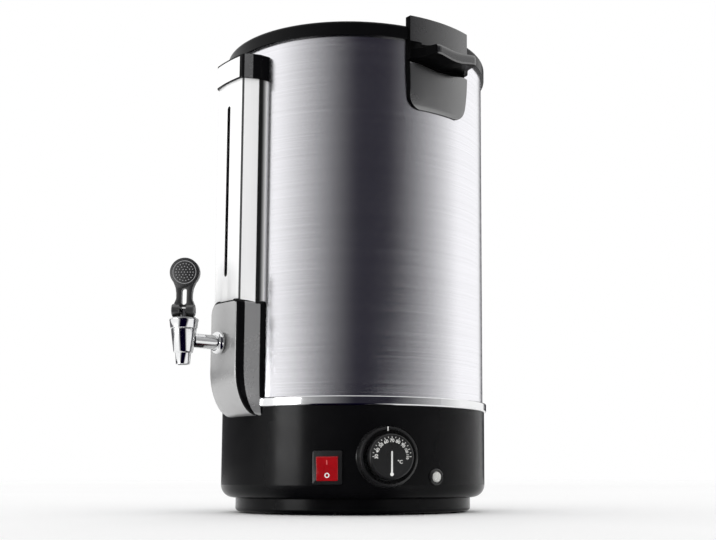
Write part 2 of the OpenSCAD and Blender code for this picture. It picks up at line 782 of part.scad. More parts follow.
module tap_spacer() {
    color("#22262a") face_out(-90) difference() {
        bar(rail_front, nut_u - bracket_wall - 0.4, 9.5, z = pipe_z, fn = 6);
        bar(jacket_r, ring_u + 1, shank_r + run, z = pipe_z);
    }
}

module tap_ring() {
    color("#e4e6e8") face_out(-90) translate([ring_u, 0, pipe_z]) rotate([0, 90, 0]) rotate_extrude($fn = 64)
        polygon(rounded([[shank_r + run, 0], [ring_r, 0], [ring_r, ring_len * 0.7], [pipe_r + 0.5, ring_len],
                         [shank_r + run, ring_len]], [0, 1.6, 1.8, 0.4, 0]));
}

module tap_body() {
    color("#dfe1e3") face_out(-90) difference() {
        union() {
            bar(pipe_u, tap_u, pipe_r, z = pipe_z);
            translate([tap_u, 0, 0]) {
                translate([0, 0, cone_bottom])
                    cylinder(r1 = cone_bottom_r, r2 = cone_top_r, h = cone_top - cone_bottom, $fn = 64);
                translate([0, 0, spout_bottom])
                    cylinder(r1 = spout_r - 0.9, r2 = spout_r, h = cone_bottom - spout_bottom, $fn = 64);
            }
        }
        bar(pipe_u - 1, pipe_u + 4, shank_r + run, z = pipe_z);
        bar(pipe_u - 1, tap_u, water_r, z = pipe_z);
        translate([tap_u, 0, 0]) {
            translate([0, 0, chamber_floor]) cylinder(r = chamber_r, h = 60, $fn = 48);
            translate([0, 0, cone_top - 4]) cylinder(r = cone_top_r - 2, h = 10, $fn = 48);
            translate([0, 0, spout_bottom - 1]) cylinder(r = water_r + 1.4, h = 60, $fn = 48);
        }
    }
}

module tap_bonnet() {
    color("#e4e6e8") face_out(-90) translate([tap_u, 0, 0]) difference() {
        union() {
            translate([0, 0, cone_top]) rotate_extrude($fn = 64)
                polygon(rounded([[0, 0], [bonnet_r - 1, 0], [bonnet_r, bonnet_h], [0, bonnet_h]],
                                [0, 0.8, 1, 0], 4));
            translate([0, 0, cone_top - 3.9]) cylinder(r = cone_top_r - 2.05, h = 5, $fn = 48);
        }
        translate([0, 0, cone_top - 5]) cylinder(r = stem_r + run, h = 40, $fn = 48);
        translate([0, 0, cone_top - 5]) cylinder(r = stem_r + 2.6, h = 6, $fn = 48);
    }
}

// Return spring: a round wire wound about the stem, with one polyhedron for the whole coil.
module tap_spring() {
    wire_r = 0.5;
    coil = stem_r + 1.6;
    z0 = stem_foot + 4.1 + wire_r;
    z1 = cone_top + 0.9 - wire_r;
    turns = 5;
    per = 14;
    sides = 6;
    rings = turns * per;
    pts = [for (i = [0:rings], j = [0:sides - 1])
        let (a = 360 * i / per, b = 360 * j / sides, r = coil + wire_r * cos(b))
        [r * cos(a), r * sin(a), z0 + (z1 - z0) * i / rings + wire_r * sin(b)]];
    walls = [for (i = [0:rings - 1], j = [0:sides - 1])
        [i * sides + j, i * sides + (j + 1) % sides, (i + 1) * sides + (j + 1) % sides, (i + 1) * sides + j]];
    color("silver") face_out(-90) translate([tap_u, 0, 0])
        polyhedron(points = pts, convexity = 6,
                   faces = concat([[for (j = [sides - 1:-1:0]) j]],
                                  [for (w = walls) [w[0], w[1], w[2], w[3]]],
                                  [[for (j = [0:sides - 1]) rings * sides + j]]));
}

// Tap pieces that turn with the lever are drawn with the lever's face toward +X.
module at_tap() {
    face_out(-90) translate([tap_u, 0, 0]) rotate([0, 0, lever_turn]) children();
}

module tap_glide() {
    color("#101010") at_tap() translate([0, 0, bonnet_top + seat]) difference() {
        cylinder(r = bonnet_r - 2.4, h = glide_t, $fn = 48);
        translate([0, 0, -1]) cylinder(r = stem_r + run, h = 4, $fn = 48);
    }
}

module tap_stem() {
    color("silver") at_tap() difference() {
        union() {
            translate([0, 0, stem_foot]) cylinder(r = stem_r, h = pin_z + 1.9 - stem_foot, $fn = 48);
            translate([0, 0, stem_foot + 3.2]) cylinder(r = chamber_r - 1, h = 0.8, $fn = 48);
        }
        translate([0, 10, pin_z]) rotate([90, 0, 0]) cylinder(r = pin_r - 0.3, h = 20, $fn = 32);
    }
}

module tap_pin() {
    color("silver") at_tap() {
        translate([0, yoke_w / 2 - 1, pin_z]) rotate([90, 0, 0])
            cylinder(r = pin_r - 0.3, h = yoke_w - 2, $fn = 32);
        for (s = [-1, 1]) translate([0, s * (yoke_gap / 2 + 2.9) + 2.6, pin_z]) rotate([90, 0, 0])
            cylinder(r = pin_r, h = 5.2, $fn = 32);
    }
}

module tap_seat_cup() {
    color("#e8e4da") at_tap() difference() {
        translate([0, 0, chamber_floor + 0.3]) union() {
            cylinder(r1 = water_r + 1.8, r2 = chamber_r - 0.6, h = 3, $fn = 48);
            translate([0, 0, 3]) cylinder(r = chamber_r - 0.6, h = 2.8, $fn = 48);
        }
        translate([0, 0, stem_foot]) cylinder(r = stem_r, h = 20, $fn = 48);
        translate([0, 0, stem_foot + 3.1]) cylinder(r = chamber_r - 0.9, h = 20, $fn = 48);
    }
}

// Lever seen from its face: yoke, waisted neck and round head.
function lever_face() = let (
    base_z = pin_z - 2,
    shoulder = pin_z + 3,
    neck_z = pin_z + 12,
    head_z = pin_z + head_rise)
    concat(
        [[-yoke_w / 2, base_z], [yoke_w / 2, base_z], [yoke_w / 2 - 0.4, shoulder]],
        [for (k = [1:5]) let (t = k / 5) [yoke_w / 2 - 0.4 + (neck_w - yoke_w + 0.8) / 2 * sin(90 * t),
                                          shoulder + (neck_z - shoulder) * t]],
        [for (a = [-52:8:232]) [head_r * cos(a), head_z + head_r * sin(a)]],
        [for (k = [5:-1:1]) let (t = k / 5) [-(yoke_w / 2 - 0.4 + (neck_w - yoke_w + 0.8) / 2 * sin(90 * t)),
                                             shoulder + (neck_z - shoulder) * t]],
        [[-yoke_w / 2 + 0.4, shoulder]]);

module tap_lever() {
    slot_r = 2.3;
    slot_z0 = pin_z + 7.2;
    slot_z1 = pin_z + head_rise - head_r - 3.4;
    color("#1a1a1a") at_tap() difference() {
        union() {
            front_view(-lever_t / 2, lever_t / 2, lever_face());
            translate([cam_offset, yoke_w / 2, pin_z]) rotate([90, 0, 0])
                cylinder(r = cam_r, h = yoke_w, $fn = 48);
        }
        translate([-10, -slot_r, slot_z0]) cube([30, 2 * slot_r, slot_z1 - slot_z0]);
        for (z = [slot_z0, slot_z1]) bar(-10, 20, slot_r, z = z);
        translate([-20, -yoke_gap / 2, pin_z - 12]) cube([40, yoke_gap, 12 + 3.3]);
        translate([0, yoke_w, pin_z]) rotate([90, 0, 0]) cylinder(r = pin_r + run, h = 2 * yoke_w, $fn = 32);
        for (r = [5, 8]) translate([lever_t / 2, 0, pin_z + head_rise]) rotate([0, 90, 0])
            difference() {
                translate([0, 0, -0.4]) cylinder(r = r + 0.5, h = 2, $fn = 48);
                translate([0, 0, -1]) cylinder(r = r - 0.5, h = 4, $fn = 48);
            }
    }
}

// ---------- heating and controls ----------

module heater_plate() {
    color("#a9abad") translate([0, 0, tank_floor - plate_t]) cylinder(r = plate_r, h = plate_t, $fn = 120);
}

module heating_element() {
    z = tank_floor - plate_t - coil_r;
    color("#6d6f70") {
        translate([0, 0, z]) rotate([0, 0, dial_angle + 20]) rotate_extrude(angle = 320, $fn = 96)
            translate([coil_ring, 0]) circle(r = coil_r, $fn = 32);
        for (a = [-20, 20]) rotate([0, 0, dial_angle + a]) translate([coil_ring, 0, z - 16])
            cylinder(r = 3, h = 16, $fn = 32);
    }
}

module thermostat_body() {
    color("#d8cfc0") face_out(dial_angle) difference() {
        union() {
            translate([dial_seat_u - 26, -17, dial_z - 17]) cube([22, 34, 34]);
            bar(dial_seat_u - 4, dial_seat_u, 15, z = dial_z);
            bar(dial_seat_u - 1, base_r - 2, 5, z = dial_z);
        }
        bar(dial_seat_u - 12, base_r, dial_shaft_r + run, z = dial_z);
    }
}

// Capillary and bulb: from the thermostat up to the clip under the heater plate.
module thermostat_bulb() {
    bulb_z = tank_floor - plate_t - 3;
    rise_u = dial_seat_u - 15;
    color("#b87333") face_out(dial_angle) {
        translate([rise_u, 0, dial_z + 16.9]) cylinder(r = 1.1, h = bulb_z - dial_z - 16.9, $fn = 24);
        translate([rise_u, 0, bulb_z]) sphere(r = 1.1, $fn = 24);
        bar(bulb_outer, rise_u, 1.1, z = bulb_z, fn = 24);
        bar(bulb_inner, bulb_outer, 3, z = bulb_z, fn = 32);
    }
}

module thermal_cutout() {
    z = tank_floor - plate_t;
    color("#2c2a28") translate([-30, 20, z]) {
        translate([0, 0, -9]) cylinder(r = 8, h = 9, $fn = 48);
        for (s = [-1, 1]) translate([s * 4 - 0.4, -3, -16]) cube([0.8, 6, 7.5]);
    }
}

module terminal_block() {
    color("#e6e2d8") translate([-24, 30, pan_floor]) difference() {
        cube([48, 20, 15]);
        for (k = [0:3]) translate([6 + 12 * k, 10, 7]) {
            cylinder(r = 3, h = 12, $fn = 32);
            translate([0, 20, 0]) rotate([90, 0, 0]) cylinder(r = 2, h = 40, $fn = 32);
        }
    }
}

// Raised bezel round the knob, hollowed so that the knob turns inside it.
module dial_bezel() {
    color("#1d1d1d") face_out(dial_angle) difference() {
        union() {
            translate([base_r - 6, 0, dial_z]) rotate([0, 90, 0]) rotate_extrude($fn = 96)
                polygon(rounded([[0, 0], [dial_r, 0], [dial_r - 1, 6 + dial_proud - 2.5],
                                 [dial_r - 3.2, 6 + dial_proud], [0, 6 + dial_proud]], [0, 0, 1, 1.2, 0]));
        }
        bar(base_r + 1.6, base_r + 40, dial_knob_r + 0.8, z = dial_z, fn = 96);
        taper(base_r + dial_proud - 4, base_r + dial_proud + 0.5, dial_knob_r + 0.8, dial_knob_r + 4, z = dial_z,
              fn = 96);
        bar(base_r - 10, base_r + 30, 5.2, z = dial_z);
        drum(base_r + seat, dial_z - 40, dial_z + 40);
    }
}

module thermostat_knob() {
    u0 = base_r + 2.2;
    u1 = base_r + dial_knob_out;
    color("#202020") face_out(dial_angle) difference() {
        translate([u0, 0, dial_z]) rotate([0, 90, 0]) rotate_extrude($fn = 96)
            polygon(rounded([[0, 0], [dial_knob_r, 0], [dial_knob_r - 0.8, u1 - u0], [0, u1 - u0]],
                            [0, 0.6, 1.4, 0]));
        bar(u0 - 1, u1 - 3, dial_shaft_r + 0.02, z = dial_z);
    }
}

module thermostat_shaft() {
    color("silver") face_out(dial_angle)
        bar(dial_seat_u - 11.8, base_r + dial_knob_out - 3, dial_shaft_r, z = dial_z);
}

module switch_frame() {
    front = base_r + 1.6;
    color("#141414") face_out(switch_angle) difference() {
        union() {
            difference() {
                front_view(base_r - 4, front, rounded(
                    [[-switch_w / 2, switch_z - switch_h / 2], [switch_w / 2, switch_z - switch_h / 2],
                     [switch_w / 2, switch_z + switch_h / 2], [-switch_w / 2, switch_z + switch_h / 2]],
                    [1.5, 1.5, 1.5, 1.5], 4));
                drum(base_r + seat, 0, base_top);
            }
            translate([base_r - 22, -switch_w / 2 + 2, switch_z - switch_h / 2 + 1.5])
                cube([22, switch_w - 4, switch_h - 3]);
        }
        translate([base_r - 14, -rocker_w / 2 - 0.3, switch_z - rocker_h / 2 - 0.3])
            cube([30, rocker_w + 0.6, rocker_h + 0.6]);
        rocker_pin(run);
    }
}

// Pivot pin moulded on the rocker, and with a clearance its bore in the frame.
module rocker_pin(clear) {
    translate([rocker_u, rocker_w / 2 + 0.9 + clear, switch_z]) rotate([90, 0, 0])
        cylinder(r = 1.2 + clear, h = rocker_w + 1.8 + 2 * clear, $fn = 32);
}

module switch_terminals() {
    color("#c8a24a") face_out(switch_angle) for (s = [-1, 1], t = [-1, 1])
        translate([base_r - 30, s * 5 - 0.4, switch_z + t * 7 - 3]) cube([8, 0.8, 6]);
}

// Rocker with a V-shaped face, drawn level and then tipped to its off position.
module switch_rocker() {
    half = rocker_h / 2 - 1;
    color("#c4161c") face_out(switch_angle) {
        translate([rocker_u, rocker_w / 2, switch_z]) rotate([90, 0, 0]) linear_extrude(height = rocker_w)
            rotate([0, 0, -rocker_tip]) polygon(rounded(
                [[-4, -3], [3, -half], [face_depth + half * tan(rocker_tip), -half], [face_depth, 0],
                 [face_depth + half * tan(rocker_tip), half], [3, half], [-4, 3]],
                [1, 1, 1, 14, 1, 1, 1], 5));
        rocker_pin(0);
    }
}

module lamp_bezel() {
    color("#121212") face_out(lamp_angle) difference() {
        union() {
            difference() {
                translate([base_r - 3, 0, lamp_z]) rotate([0, 90, 0]) rotate_extrude($fn = 64)
                    polygon(rounded([[0, 0], [lamp_r, 0], [lamp_r, 4.4], [lamp_r - 1.4, 5.4], [0, 5.4]],
                                    [0, 0, 0.6, 0.6, 0]));
                drum(base_r + seat, 0, base_top);
            }
            bar(base_r - 20, base_r + 1, lamp_r - 1.6, z = lamp_z);
        }
        bar(base_r - 6, base_r + 10, lamp_r - 2.6, z = lamp_z);
    }
}

module lamp_lens() {
    color("#d8d8d4") face_out(lamp_angle) translate([base_r - 6, 0, lamp_z]) rotate([0, 90, 0])
        rotate_extrude($fn = 48)
            polygon(rounded([[0, 0], [lamp_r - 2.65, 0], [lamp_r - 2.65, 8.2], [0, 9.4]], [0, 0, 2, 0]));
}

// ---------- power inlet ----------

module power_inlet() {
    front = base_r + inlet_proud;
    color("#0f0f0f") face_out(90) difference() {
        union() {
            difference() {
                front_view(base_r - 6, front, rounded(
                    [for (c = [[-1, -1], [1, -1], [1, 1], [-1, 1]])
                        [c.x * inlet_flange_w / 2, inlet_z + c.y * inlet_flange_h / 2]], [6, 6, 6, 6], 5));
                drum(base_r + seat, 0, base_top);
            }
            translate([front - inlet_depth - 3, -inlet_w / 2, inlet_z - inlet_h / 2])
                cube([inlet_depth + 2, inlet_w, inlet_h]);
        }
        front_view(front - inlet_depth, front + 1, rounded(
            [[-12.2, inlet_z - 8.2], [12.2, inlet_z - 8.2], [12.2, inlet_z + 3.4], [7.4, inlet_z + 8.2],
             [-7.4, inlet_z + 8.2], [-12.2, inlet_z + 3.4]], [1, 1, 1, 1, 1, 1], 3));
        for (s = [-1, 1]) bar(base_r - 8, front + 1, screw_r + seat, v = s * inlet_screw_v, z = inlet_z);
        inlet_pin_row(run);
    }
}

// Three flat pins, and with a clearance their slots in the inlet's back wall.
module inlet_pin_row(clear) {
    root_u = base_r - 26;
    tip_u = base_r + inlet_proud - 5;
    for (p = [[-7, -2], [0, 2], [7, -2]])
        translate([root_u, p.x - 1 - clear, inlet_z + p.y - 2 - clear])
            cube([tip_u - root_u, 2 + 2 * clear, 4 + 2 * clear]);
}

module inlet_pins() {
    color("#c9cbcc") face_out(90) inlet_pin_row(0);
}

module inlet_screws() {
    front = base_r + inlet_proud;
    color("silver") face_out(90) for (s = [-1, 1]) {
        difference() {
            bar(front, front + 1.8, 3.2, v = s * inlet_screw_v, z = inlet_z, fn = 32);
            translate([front + 1, s * inlet_screw_v - 0.4, inlet_z - 2]) cube([2, 0.8, 4]);
        }
        bar(front - 9, front, screw_r - run, v = s * inlet_screw_v, z = inlet_z, fn = 32);
    }
}

// ---------- lid ----------

module lid_shell() {
    flange_top = lid_seat + lid_wall;
    dome = (dome_chord * dome_chord + lid_rise * lid_rise) / (2 * lid_rise);
    color("#c6c8ca") difference() {
        rotate_extrude($fn = 180) {
            translate([dome_chord - 1, lid_seat]) square([lid_r - dome_chord + 1, lid_wall]);
            translate([mouth_r - 1.4, lid_seat - 8]) square([lid_wall, 8 + lid_wall]);
            translate([mouth_r - 1.4, lid_seat]) square([dome_chord - mouth_r + 2, lid_wall]);
            intersection() {
                translate([0, lid_top - dome]) difference() {
                    circle(r = dome, $fn = 180);
                    circle(r = dome - lid_wall, $fn = 180);
                }
                translate([0, flange_top - lid_wall]) square([dome_chord, lid_rise + 2]);
            }
        }
        translate([0, 0, lid_top - 8]) cylinder(r = screw_r + seat, h = 20, $fn = 32);
        for (a = [0:120:240]) rotate([0, 0, a]) translate([steam_ring, 0, lid_seat - 10])
            cylinder(r = steam_r, h = 60, $fn = 32);
    }
}

module lid_knob() {
    color("#191919") translate([0, 0, lid_top]) difference() {
        rotate_extrude($fn = 96) polygon(rounded(
            [[0, 0.1], [knob_r - 6, 0.1], [knob_r - 9, 8], [knob_r, knob_h - 8], [knob_r - 3, knob_h],
             [0, knob_h]], [0, 1, 4, 3, 4, 0], 8));
        translate([0, 0, -1]) cylinder(r = screw_r, h = 13, $fn = 32);
    }
}

module lid_knob_screw() {
    color("silver") translate([0, 0, lid_top - lid_wall]) {
        translate([0, 0, -2.2]) cylinder(r = 4, h = 2.1, $fn = 32);
        translate([0, 0, -0.2]) cylinder(r = screw_r - run, h = 12, $fn = 32);
    }
}

// ---------- assembly ----------

base_housing();
base_pan();
rubber_feet();
base_screws();
trim_band();
outer_jacket();
inner_tank();
top_collar();
handle_right();
handle_left();
handle_screws();
gauge_rail_placed();  // gauge_rail
gauge_cover();
gauge_cap();
cap_plate();
gauge_glass();
gauge_seals();
gauge_elbow();
tap_bracket();
tap_shank();
tap_washers();
tap_tank_nuts();
tap_spacer();
tap_nut();
tap_ring();
tap_body();
tap_bonnet();
tap_spring();
tap_glide();
tap_stem();
tap_pin();
tap_seat_cup();
tap_lever();
heater_plate();
heating_element();
thermostat_body();
thermostat_bulb();
thermal_cutout();
terminal_block();
dial_bezel();
thermostat_knob();
thermostat_shaft();
switch_frame();
switch_terminals();
switch_rocker();
lamp_bezel();
lamp_lens();
power_inlet();
inlet_pins();
inlet_screws();
lid_shell();
lid_knob();
lid_knob_screw();
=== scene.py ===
"""Dresses the hot water urn: finishes, fine moulded forms, studio and camera."""
import logging
import math
from contextlib import contextmanager
from dataclasses import dataclass
from enum import Enum
from typing import Callable, Iterator

import bmesh
import bpy
from mathutils import Matrix, Vector


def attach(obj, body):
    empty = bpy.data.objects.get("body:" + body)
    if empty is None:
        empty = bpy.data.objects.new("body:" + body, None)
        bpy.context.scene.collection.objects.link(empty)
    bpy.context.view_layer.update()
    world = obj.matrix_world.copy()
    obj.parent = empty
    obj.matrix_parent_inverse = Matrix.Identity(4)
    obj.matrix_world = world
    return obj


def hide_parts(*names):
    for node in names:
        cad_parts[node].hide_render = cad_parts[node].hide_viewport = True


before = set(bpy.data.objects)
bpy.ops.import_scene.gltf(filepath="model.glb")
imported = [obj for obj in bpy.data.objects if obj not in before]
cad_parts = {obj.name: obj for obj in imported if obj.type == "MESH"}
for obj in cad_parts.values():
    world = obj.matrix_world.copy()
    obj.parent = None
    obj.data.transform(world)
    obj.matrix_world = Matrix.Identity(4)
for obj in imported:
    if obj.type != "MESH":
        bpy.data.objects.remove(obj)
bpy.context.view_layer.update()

LOG = logging.getLogger("urn")
MM = 0.001
URN = "urn"
FRONT = -90.0  # direction of the gauge and the tap, seen from above, in degrees
AXIS = 0.004  # least radius of a turned ring, in millimetres
FONT_SHARE = 1.4  # a font's size over the height of its letters
PRINT_DEPTH = 0.08  # thickness of print, in millimetres


# ---------------------------------------------------------------- node graphs

class Graph:
    """A material's node tree with short ways to add and join nodes."""

    def __init__(self, name: str) -> None:
        """Makes the material.

        Args:
            name: The material's name.
        """
        self.material = bpy.data.materials.new(name)
        self.material.use_nodes = True
        self.tree = self.material.node_tree
        self.tree.nodes.clear()
        self.out = self.tree.nodes.new("ShaderNodeOutputMaterial")
        self.coords = self.tree.nodes.new("ShaderNodeTexCoord")

    def add(self, kind: str, **inputs: object) -> bpy.types.Node:
        """Adds a node.

        Args:
            kind: The node's type name.
            **inputs: Socket values or source sockets; a key that is no socket sets a property.

        Returns:
            The new node.
        """
        node = self.tree.nodes.new(kind)
        for key, value in inputs.items():
            name = key.replace("_", " ")
            socket = node.inputs.get(name) or node.inputs.get(name.title())
            if key.startswith("in") and key[2:].isdigit():
                socket = node.inputs[int(key[2:])]
            if socket is None:
                setattr(node, key, value)
            elif isinstance(value, bpy.types.NodeSocket):
                self.tree.links.new(value, socket)
            else:
                socket.default_value = value
        return node

    def noise(self, scale: tuple[float, float, float], detail: float = 3.0,
              rough: float = 0.5) -> bpy.types.NodeSocket:
        """Gives a noise over the piece's own coordinates.

        Args:
            scale: Repeats per metre along X, Y and Z.
            detail: Octaves of the noise.
            rough: Strength of the finer octaves.

        Returns:
            The noise's value socket.
        """
        scaled = self.add("ShaderNodeMapping", Vector=self.coords.outputs["Object"], Scale=scale).outputs[0]
        return self.add("ShaderNodeTexNoise", Vector=scaled, Scale=1.0, Detail=detail,
                        Roughness=rough).outputs[0]

    def spread(self, value: bpy.types.NodeSocket, low: float, high: float,
               start: float = 0.3, end: float = 0.7) -> bpy.types.NodeSocket:
        """Maps a value to a range.

        Args:
            value: The socket to map.
            low: Result at start.
            high: Result at end.
            start: Lower input.
            end: Upper input.

        Returns:
            The mapped socket.
        """
        return self.add("ShaderNodeMapRange", Value=value, in1=start, in2=end, in3=low, in4=high).outputs[0]

    def tint(self, value: bpy.types.NodeSocket, dark: tuple[float, ...],
             light: tuple[float, ...]) -> bpy.types.NodeSocket:
        """Maps a value to a colour between two.

        Args:
            value: The socket to map.
            dark: Colour at a value of 0.3.
            light: Colour at a value of 0.7.

        Returns:
            The colour socket.
        """
        ramp = self.add("ShaderNodeValToRGB", Fac=value)
        stops = ramp.color_ramp.elements
        stops[0].position, stops[1].position = 0.3, 0.7
        stops[0].color, stops[1].color = (*dark[:3], 1.0), (*light[:3], 1.0)
        return ramp.outputs[0]

    def bump(self, height: bpy.types.NodeSocket, depth: float, strength: float = 1.0) -> bpy.types.NodeSocket:
        """Turns a height into a normal.

        Args:
            height: The height socket.
            depth: Its depth in metres.
            strength: How much of it shows.

        Returns:
            The normal socket.
        """
        return self.add("ShaderNodeBump", Height=height, Distance=depth, Strength=strength).outputs[0]

    def surface(self, shader: bpy.types.Node) -> bpy.types.Material:
        """Ends the tree in a shader and gives the material."""
        self.tree.links.new(shader.outputs[0], self.out.inputs["Surface"])
        return self.material

    def finish(self, **inputs: object) -> bpy.types.Material:
        """Ends the tree in a principled shader.

        Args:
            **inputs: The shader's sockets, with underscores for spaces.

        Returns:
            The material.
        """
        return self.surface(self.add("ShaderNodeBsdfPrincipled", **inputs))


def shade(colour: tuple[float, ...], factor: float) -> tuple[float, ...]:
    """Gives a colour made darker or lighter by a factor."""
    return tuple(min(1.0, c * factor) for c in colour[:3])


# ---------------------------------------------------------------- finishes

@dataclass(frozen=True)
class Moulding:
    """Moulded plastic or rubber with a fine grain."""

    name: str
    colour: tuple[float, float, float]
    rough: float = 0.4
    specular: float = 0.4
    grain: float = 0.00002
    grain_scale: float = 1600.0
    coat: float = 0.0
    ior: float = 1.5

    def material(self) -> bpy.types.Material:
        """Builds the material.

        Returns:
            The material.
        """
        g = Graph(self.name)
        cloud = g.noise((45, 45, 45), 4)
        fine = g.noise((self.grain_scale,) * 3, 2)
        return g.finish(
            Base_Color=g.tint(cloud, shade(self.colour, 0.86), shade(self.colour, 1.14)),
            Roughness=g.spread(cloud, self.rough * 0.88, self.rough * 1.12),
            Normal=g.bump(fine, self.grain, 0.6),
            Specular_IOR_Level=self.specular, IOR=self.ior, Coat_Weight=self.coat, Coat_Roughness=0.06)


@dataclass(frozen=True)
class Faded:
    """Dark moulding with a painted sheen: its colour pales toward its back, from one place along Y to
    another, in metres.
    """

    name: str
    dark: float
    pale: float
    front: float
    back: float

    def material(self) -> bpy.types.Material:
        """Builds the material.

        Returns:
            The material.
        """
        g = Graph(self.name)
        depth = g.add("ShaderNodeSeparateXYZ", Vector=g.coords.outputs["Object"]).outputs["Y"]
        share = g.spread(depth, 0.0, 1.0, self.front, self.back)
        squared = g.add("ShaderNodeMath", operation="MULTIPLY", in0=share, in1=share).outputs[0]
        blend = g.spread(squared, 0.3, 0.7, 0.0, 1.0)
        return g.finish(Base_Color=g.tint(blend, (self.dark,) * 3, (self.pale,) * 3), Roughness=0.4,
                        Specular_IOR_Level=0.3)


@dataclass(frozen=True)
class Brushed:
    """Sheet metal with fine brushing along one direction."""

    name: str
    colour: tuple[float, float, float]
    rough: float = 0.22
    along: tuple[float, float, float] = (5.0, 5.0, 1500.0)
    contrast: float = 0.08
    metallic: float = 1.0
    depth: float = 0.000004

    def material(self) -> bpy.types.Material:
        """Builds the material.

        Returns:
            The material.
        """
        g = Graph(self.name)
        lines = g.noise(self.along, 5, 0.62)
        broad = g.noise(tuple(s * 0.22 for s in self.along), 3)
        both = g.add("ShaderNodeMath", operation="MULTIPLY", in0=lines, in1=broad).outputs[0]
        return g.finish(
            Base_Color=g.tint(lines, shade(self.colour, 1 - self.contrast),
                              shade(self.colour, 1 + self.contrast / 2)),
            Metallic=self.metallic,
            Roughness=g.spread(both, self.rough * 0.85, self.rough * 1.2, 0.1, 0.45),
            Normal=g.bump(lines, self.depth, 0.5))


@dataclass(frozen=True)
class Polished:
    """Bright plated or polished metal with faint wipe marks."""

    name: str
    colour: tuple[float, float, float]
    rough: float = 0.07
    wear: float = 0.05

    def material(self) -> bpy.types.Material:
        """Builds the material.

        Returns:
            The material.
        """
        g = Graph(self.name)
        wipe = g.noise((60, 60, 240), 5, 0.6)
        return g.finish(
            Base_Color=g.tint(wipe, shade(self.colour, 0.97), self.colour),
            Metallic=1.0, Roughness=g.spread(wipe, self.rough * 0.8, self.rough + self.wear),
            Normal=g.bump(g.noise((900, 900, 900), 2), 0.000004, 0.3))


@dataclass(frozen=True)
class Clear:
    """Glass or a clear or milky lens."""

    name: str
    colour: tuple[float, float, float]
    rough: float = 0.02
    transmission: float = 1.0
    ior: float = 1.45

    def material(self) -> bpy.types.Material:
        """Builds the material.

        Returns:
            The material.
        """
        g = Graph(self.name)
        haze = g.noise((120, 120, 120), 3)
        return g.finish(
            Base_Color=g.tint(haze, shade(self.colour, 0.96), self.colour),
            Roughness=g.spread(haze, self.rough, self.rough * 1.6 + 0.01),
            Transmission_Weight=self.transmission, IOR=self.ior)


